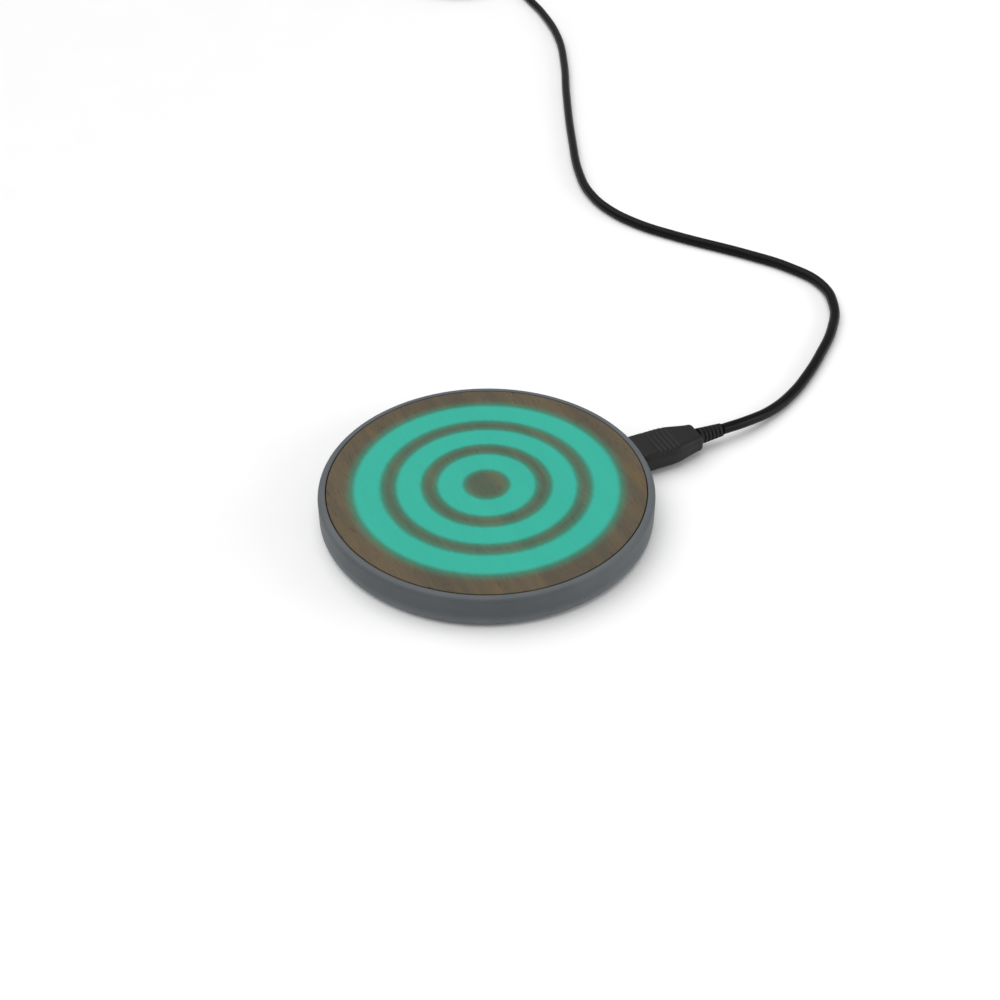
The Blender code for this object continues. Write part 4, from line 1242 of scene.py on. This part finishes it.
def make_choke():
    """A shielded choke: rounded ferrite block with a copper winding in its middle."""
    low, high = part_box("filter_choke")
    centre = (low + high) / 2
    half = 2.5 * MM
    height = high.z - low.z
    body = slab("choke", (-half, -half, 0.0), (half, half, height))
    round_along("Z", 0.9 * MM, 6)
    pick("FACE", lambda middle, normal: normal.z > 0.99)
    bpy.ops.mesh.inset(thickness=0.18 * MM)
    pick(
        "EDGE",
        lambda middle, way: middle.z > height - NEAR
        and max(abs(middle.x), abs(middle.y)) > half - 0.1 * MM,
    )
    bevel(0.12 * MM, 2)
    done(body)
    ring = drum("ring", 1.95 * MM, height - 0.35 * MM, high.z, sides=40)
    cut(body, ring)
    turns = []
    for radius in (1.72, 1.42, 1.12):
        fresh()
        bpy.ops.mesh.primitive_torus_add(
            major_radius=radius * MM, minor_radius=0.15 * MM, major_segments=40,
            minor_segments=10, location=(0.0, 0.0, height - 0.2 * MM),
        )
        begun("turn")
        turns.append(done(bpy.context.object))
    post = drum("post", 0.85 * MM, height - 0.4 * MM, height - 0.05 * MM, sides=32)
    round_off(0.85 * MM, height - 0.05 * MM, 0.08 * MM, 2)
    done(post)
    whole = join("choke", [body, post, *turns])
    place = shift(centre.x, centre.y, low.z) @ turn(122.0)
    moved(whole, place)
    dress(whole, "ferrite", "pad", ["filter_choke"])
    second_look(
        whole, "copper",
        lambda middle: 0.96 * MM < middle.xy.length < 1.88 * MM
        and middle.z > height - 0.345 * MM,
        place,
    )


make_choke()


def make_capacitor(name, node, angle):
    """A stacked ceramic block between two tinned caps."""
    low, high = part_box(node)
    centre = (low + high) / 2
    height = high.z - low.z
    body = slab(name, (-1.05 * MM, -1.2 * MM, 0.05 * MM), (1.05 * MM, 1.2 * MM, height - 0.05 * MM))
    round_along("X", 0.12 * MM, 3)
    done(body)
    ends = []
    for side in (-1, 1):
        a, b = sorted((side * 0.98 * MM, side * 1.6 * MM))
        end = slab("end", (a, -1.25 * MM, 0.0), (b, 1.25 * MM, height))
        pick("EDGE", lambda middle, way: True)
        bevel(0.12 * MM, 3)
        ends.append(done(end))
    whole = join(name, [body, *ends])
    place = shift(centre.x, centre.y, low.z) @ turn(angle)
    moved(whole, place)
    dress(whole, "ceramic", "pad", [node])
    second_look(whole, "tin", lambda middle: abs(middle.x) > 1.06 * MM, place)


for number in range(3):
    make_capacitor(f"ceramic_{number + 1}", f"capacitor_{number + 1}", 208.0 + 12.0 * number)


def make_sensor():
    """A bead of resin over the heat sensor."""
    low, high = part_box("heat_sensor")
    bead = drum("sensor_bead", 1.6 * MM, low.z, low.z + 0.25 * MM, sides=32)
    pick_cap(low.z + 0.25 * MM)
    carry(
        ((1.5 * MM, low.z + 0.5 * MM), (1.25 * MM, low.z + 0.75 * MM), (0.85 * MM, low.z + 0.92 * MM),
         (0.4 * MM, high.z)),
        (1.6 * MM, low.z + 0.25 * MM),
    )
    dress(done(bead, 60.0), "package", "pad", ["heat_sensor"])


make_sensor()


# Underside


def make_ring():
    """Anti-slip ring with rounded edges and fine grooves on its face."""
    low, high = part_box("anti_slip_ring")
    inner, outer = RING_INNER, RING_OUTER
    piece = drum("foot_ring", outer, low.z, high.z, sides=144)
    pick_cap(low.z)
    steps = []
    at = outer - 0.35 * MM
    steps.append((at, low.z))
    while at - 0.75 * MM > inner + 0.35 * MM:
        at -= 0.5 * MM
        steps += [
            (at, low.z), (at - 0.05 * MM, low.z + 0.12 * MM),
            (at - 0.2 * MM, low.z + 0.12 * MM), (at - 0.25 * MM, low.z),
        ]
        at -= 0.25 * MM
    steps += [(inner, low.z), (inner, high.z)]
    carry(steps, (outer, low.z))
    open_up()
    pick("FACE", lambda middle, normal: abs(middle.z - high.z) < NEAR and abs(normal.z) > 0.9)
    open_up()
    pick("EDGE", lambda middle, way: abs(middle.z - high.z) < NEAR and abs(way.z) < 0.01)
    bpy.ops.mesh.bridge_edge_loops()
    round_off(outer, low.z, 0.2 * MM, 3)
    round_off(inner, low.z, 0.2 * MM, 3)
    return done(piece, 40.0)


dress(make_ring(), "rubber", "pad", ["anti_slip_ring"])


def make_cover():
    """The bottom plate: ring groove and sunk middle below, platform, posts and lands above."""
    low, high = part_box("bottom_cover")
    bottom, top = low.z, 2.0 * MM
    piece = drum("cover_plate", high.x, bottom, top, sides=160)
    pick_cap(top)
    carry(
        ((24.0 * MM, top), (24.0 * MM, high.z - 0.15 * MM), (23.85 * MM, high.z)), (high.x, top)
    )
    pick_cap(bottom)
    groove = bottom + 0.5 * MM
    sunk = bottom + 0.2 * MM
    steps = [(37.3 * MM, bottom), (37.3 * MM, groove), (30.7 * MM, groove), (30.7 * MM, bottom)]
    steps += [(29.2 * MM, bottom), (29.0 * MM, sunk)]
    for radius in (27.5, 26.5, 25.5):
        steps += [
            (radius * MM, sunk), ((radius - 0.15) * MM, sunk + 0.12 * MM),
            ((radius - 0.35) * MM, sunk + 0.12 * MM), ((radius - 0.5) * MM, sunk),
        ]
    carry(steps, (high.x, bottom))
    round_off(high.x, bottom, 0.2 * MM, 3)
    round_off(30.7 * MM, bottom, 0.12 * MM, 2)
    round_off(37.3 * MM, bottom, 0.12 * MM, 2)
    done(piece)
    for number in range(4):
        degrees = 45.0 + 90.0 * number
        at = polar(SCREW_CIRCLE, degrees)
        for place, radius in ((at, 2.4), (polar(32.1 * MM, degrees), 1.5)):
            post = drum("post", radius * MM, top - 0.4 * MM, high.z, place, 40)
            round_off(radius * MM, high.z, 0.12 * MM, 2, place)
            cut(piece, post, "UNION")
        recess = drum("recess", 1.8 * MM, bottom - 0.5 * MM, bottom + 1.1 * MM, at, 40)
        cut(piece, recess)
        hole = drum("hole", 1.1 * MM, bottom, high.z + 0.5 * MM, at, 32)
        cut(piece, hole)
    smooth(35.0)
    return piece


dress(make_cover(), "cover", "pad", ["bottom_cover"])


def make_screw(name, at):
    """A flat-headed screw with a cross drive and a ridged shank, head down."""
    x, y = at
    low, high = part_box("cover_screw_1")
    head_top = low.z + 0.7 * MM
    piece = drum(name, 1.5 * MM, low.z, head_top, at, 48)
    pick_cap(head_top, at=at)
    steps = [(0.62 * MM, head_top)]
    climb = head_top
    while climb + 0.36 * MM < high.z - 0.3 * MM:
        steps += [
            (0.62 * MM, climb + 0.06 * MM), (0.8 * MM, climb + 0.17 * MM),
            (0.8 * MM, climb + 0.21 * MM), (0.62 * MM, climb + 0.32 * MM),
        ]
        climb += 0.36 * MM
    steps += [(0.6 * MM, high.z - 0.15 * MM), (0.35 * MM, high.z)]
    carry(steps, (1.5 * MM, head_top), at)
    round_off(1.5 * MM, low.z, 0.15 * MM, 3, at)
    round_off(1.5 * MM, head_top, 0.08 * MM, 2, at)
    done(piece, 40.0)
    for size in ((0.95, 0.2), (0.2, 0.95)):
        bar = slab(
            "bar", (x - size[0] * MM, y - size[1] * MM, low.z - 0.2 * MM),
            (x + size[0] * MM, y + size[1] * MM, low.z + 0.4 * MM),
        )
        pick("FACE", lambda middle, normal: normal.z > 0.99)
        bpy.ops.transform.resize(value=(0.75, 0.75, 1.0), center_override=(x, y, low.z + 0.4 * MM))
        cut(piece, bar)
    smooth(40.0)
    return piece


screw = make_screw("screw_1", (SCREW_CIRCLE, 0.0))
for number in range(1, 5):
    one = copied(screw, f"screw_of_{number}", turn(45.0 + 90.0 * (number - 1)))
    moved(one, turn(17.0 * number, about=(*polar(SCREW_CIRCLE, 45.0 + 90.0 * (number - 1)), 0.0)))
    dress(one, "screw", "pad", [f"cover_screw_{number}"])
bpy.data.objects.remove(screw)


# Socket

socket_shell = tube_of(
    "socket_lining", *mm(9.1, 3.3, 0.3), SOCKET_LOW.x, SOCKET_HIGH.x, SOCKET_Z, *mm(1.6, 0.09)
)
dress(socket_shell, "plated", "pad", ["socket_shell"])


def make_tongue():
    """The socket's base and blade, with a row of plated contacts on each face."""
    low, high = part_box("socket_tongue")
    base = lozenge("tongue", 8.2 * MM, 2.4 * MM, low.x, low.x + 1.2 * MM, SOCKET_Z, 1.1 * MM)
    done(base)
    blade = lozenge("blade", 6.7 * MM, 0.8 * MM, low.x + 0.6 * MM, high.x, SOCKET_Z, 0.12 * MM, 3)
    pick("EDGE", lambda middle, way: abs(middle.x - high.x) < NEAR)
    bevel(0.12 * MM, 3)
    done(blade)
    pads = []
    for number in range(12):
        y = (number - 5.5) * 0.5 * MM
        pad = slab(
            "pad", (low.x + 1.0 * MM, y - 0.13 * MM, SOCKET_Z - 0.43 * MM),
            (high.x - 0.7 * MM, y + 0.13 * MM, SOCKET_Z + 0.43 * MM),
        )
        round_along("X", 0.02 * MM, 1)
        pads.append(done(pad))
    whole = join("tongue", [base, blade, *pads])
    dress(whole, "tongue", "pad", ["socket_tongue"])
    second_look(
        whole, "gold",
        lambda middle: 0.4005 * MM < abs(middle.z - SOCKET_Z) < 0.45 * MM
        and middle.x > low.x + 1.21 * MM
        and abs(middle.y) < 3.0 * MM,
    )


make_tongue()


# Floor and light


def make_floor():
    fresh()
    bpy.ops.mesh.primitive_plane_add(size=40.0, location=(0.0, 0.0, 0.0))
    floor = bpy.context.object
    floor.name = "floor"
    it = Finish("pale_floor", IOR=1.3, Specular_IOR_Level=0.1)
    fine = it.noise(40, detail=3.0)
    it.set(Base_Color=it.mix(fine, (0.93, 0.93, 0.93, 1.0), (0.96, 0.96, 0.96, 1.0)))
    it.set(Roughness=fine * 0.1 + 0.85)
    floor.data.materials.append(it.material)


def soft_box(name, energy, size, place):
    light = bpy.data.lights.new(name, "AREA")
    light.energy = energy
    light.shape = "RECTANGLE"
    light.size, light.size_y = size
    lamp = bpy.data.objects.new(name, light)
    lamp.location = place
    lamp.rotation_euler = (-Vector(place)).to_track_quat("-Z", "Y").to_euler()
    bpy.context.scene.collection.objects.link(lamp)


make_floor()
sky = bpy.data.lights.new("sky_panel", "SUN")
sky.energy = 1.95
sky.angle = math.radians(75.0)
sky_lamp = bpy.data.objects.new("sky_panel", sky)
sky_lamp.rotation_euler = Vector((0.25, -0.30, -1.0)).to_track_quat("-Z", "Y").to_euler()
bpy.context.scene.collection.objects.link(sky_lamp)
soft_box("left_fill", 0.3, (0.5, 0.4), (-0.8, -0.05, 0.32))
soft_box("right_fill", 1.5, (0.4, 0.3), (0.6, -0.35, 0.25))
world = bpy.data.worlds.new("studio")
world.use_nodes = True
world.node_tree.nodes["Background"].inputs["Color"].default_value = (1.0, 1.0, 1.0, 1.0)
world.node_tree.nodes["Background"].inputs["Strength"].default_value = 0.42
bpy.context.scene.world = world
bpy.context.scene.view_settings.view_transform = "Standard"
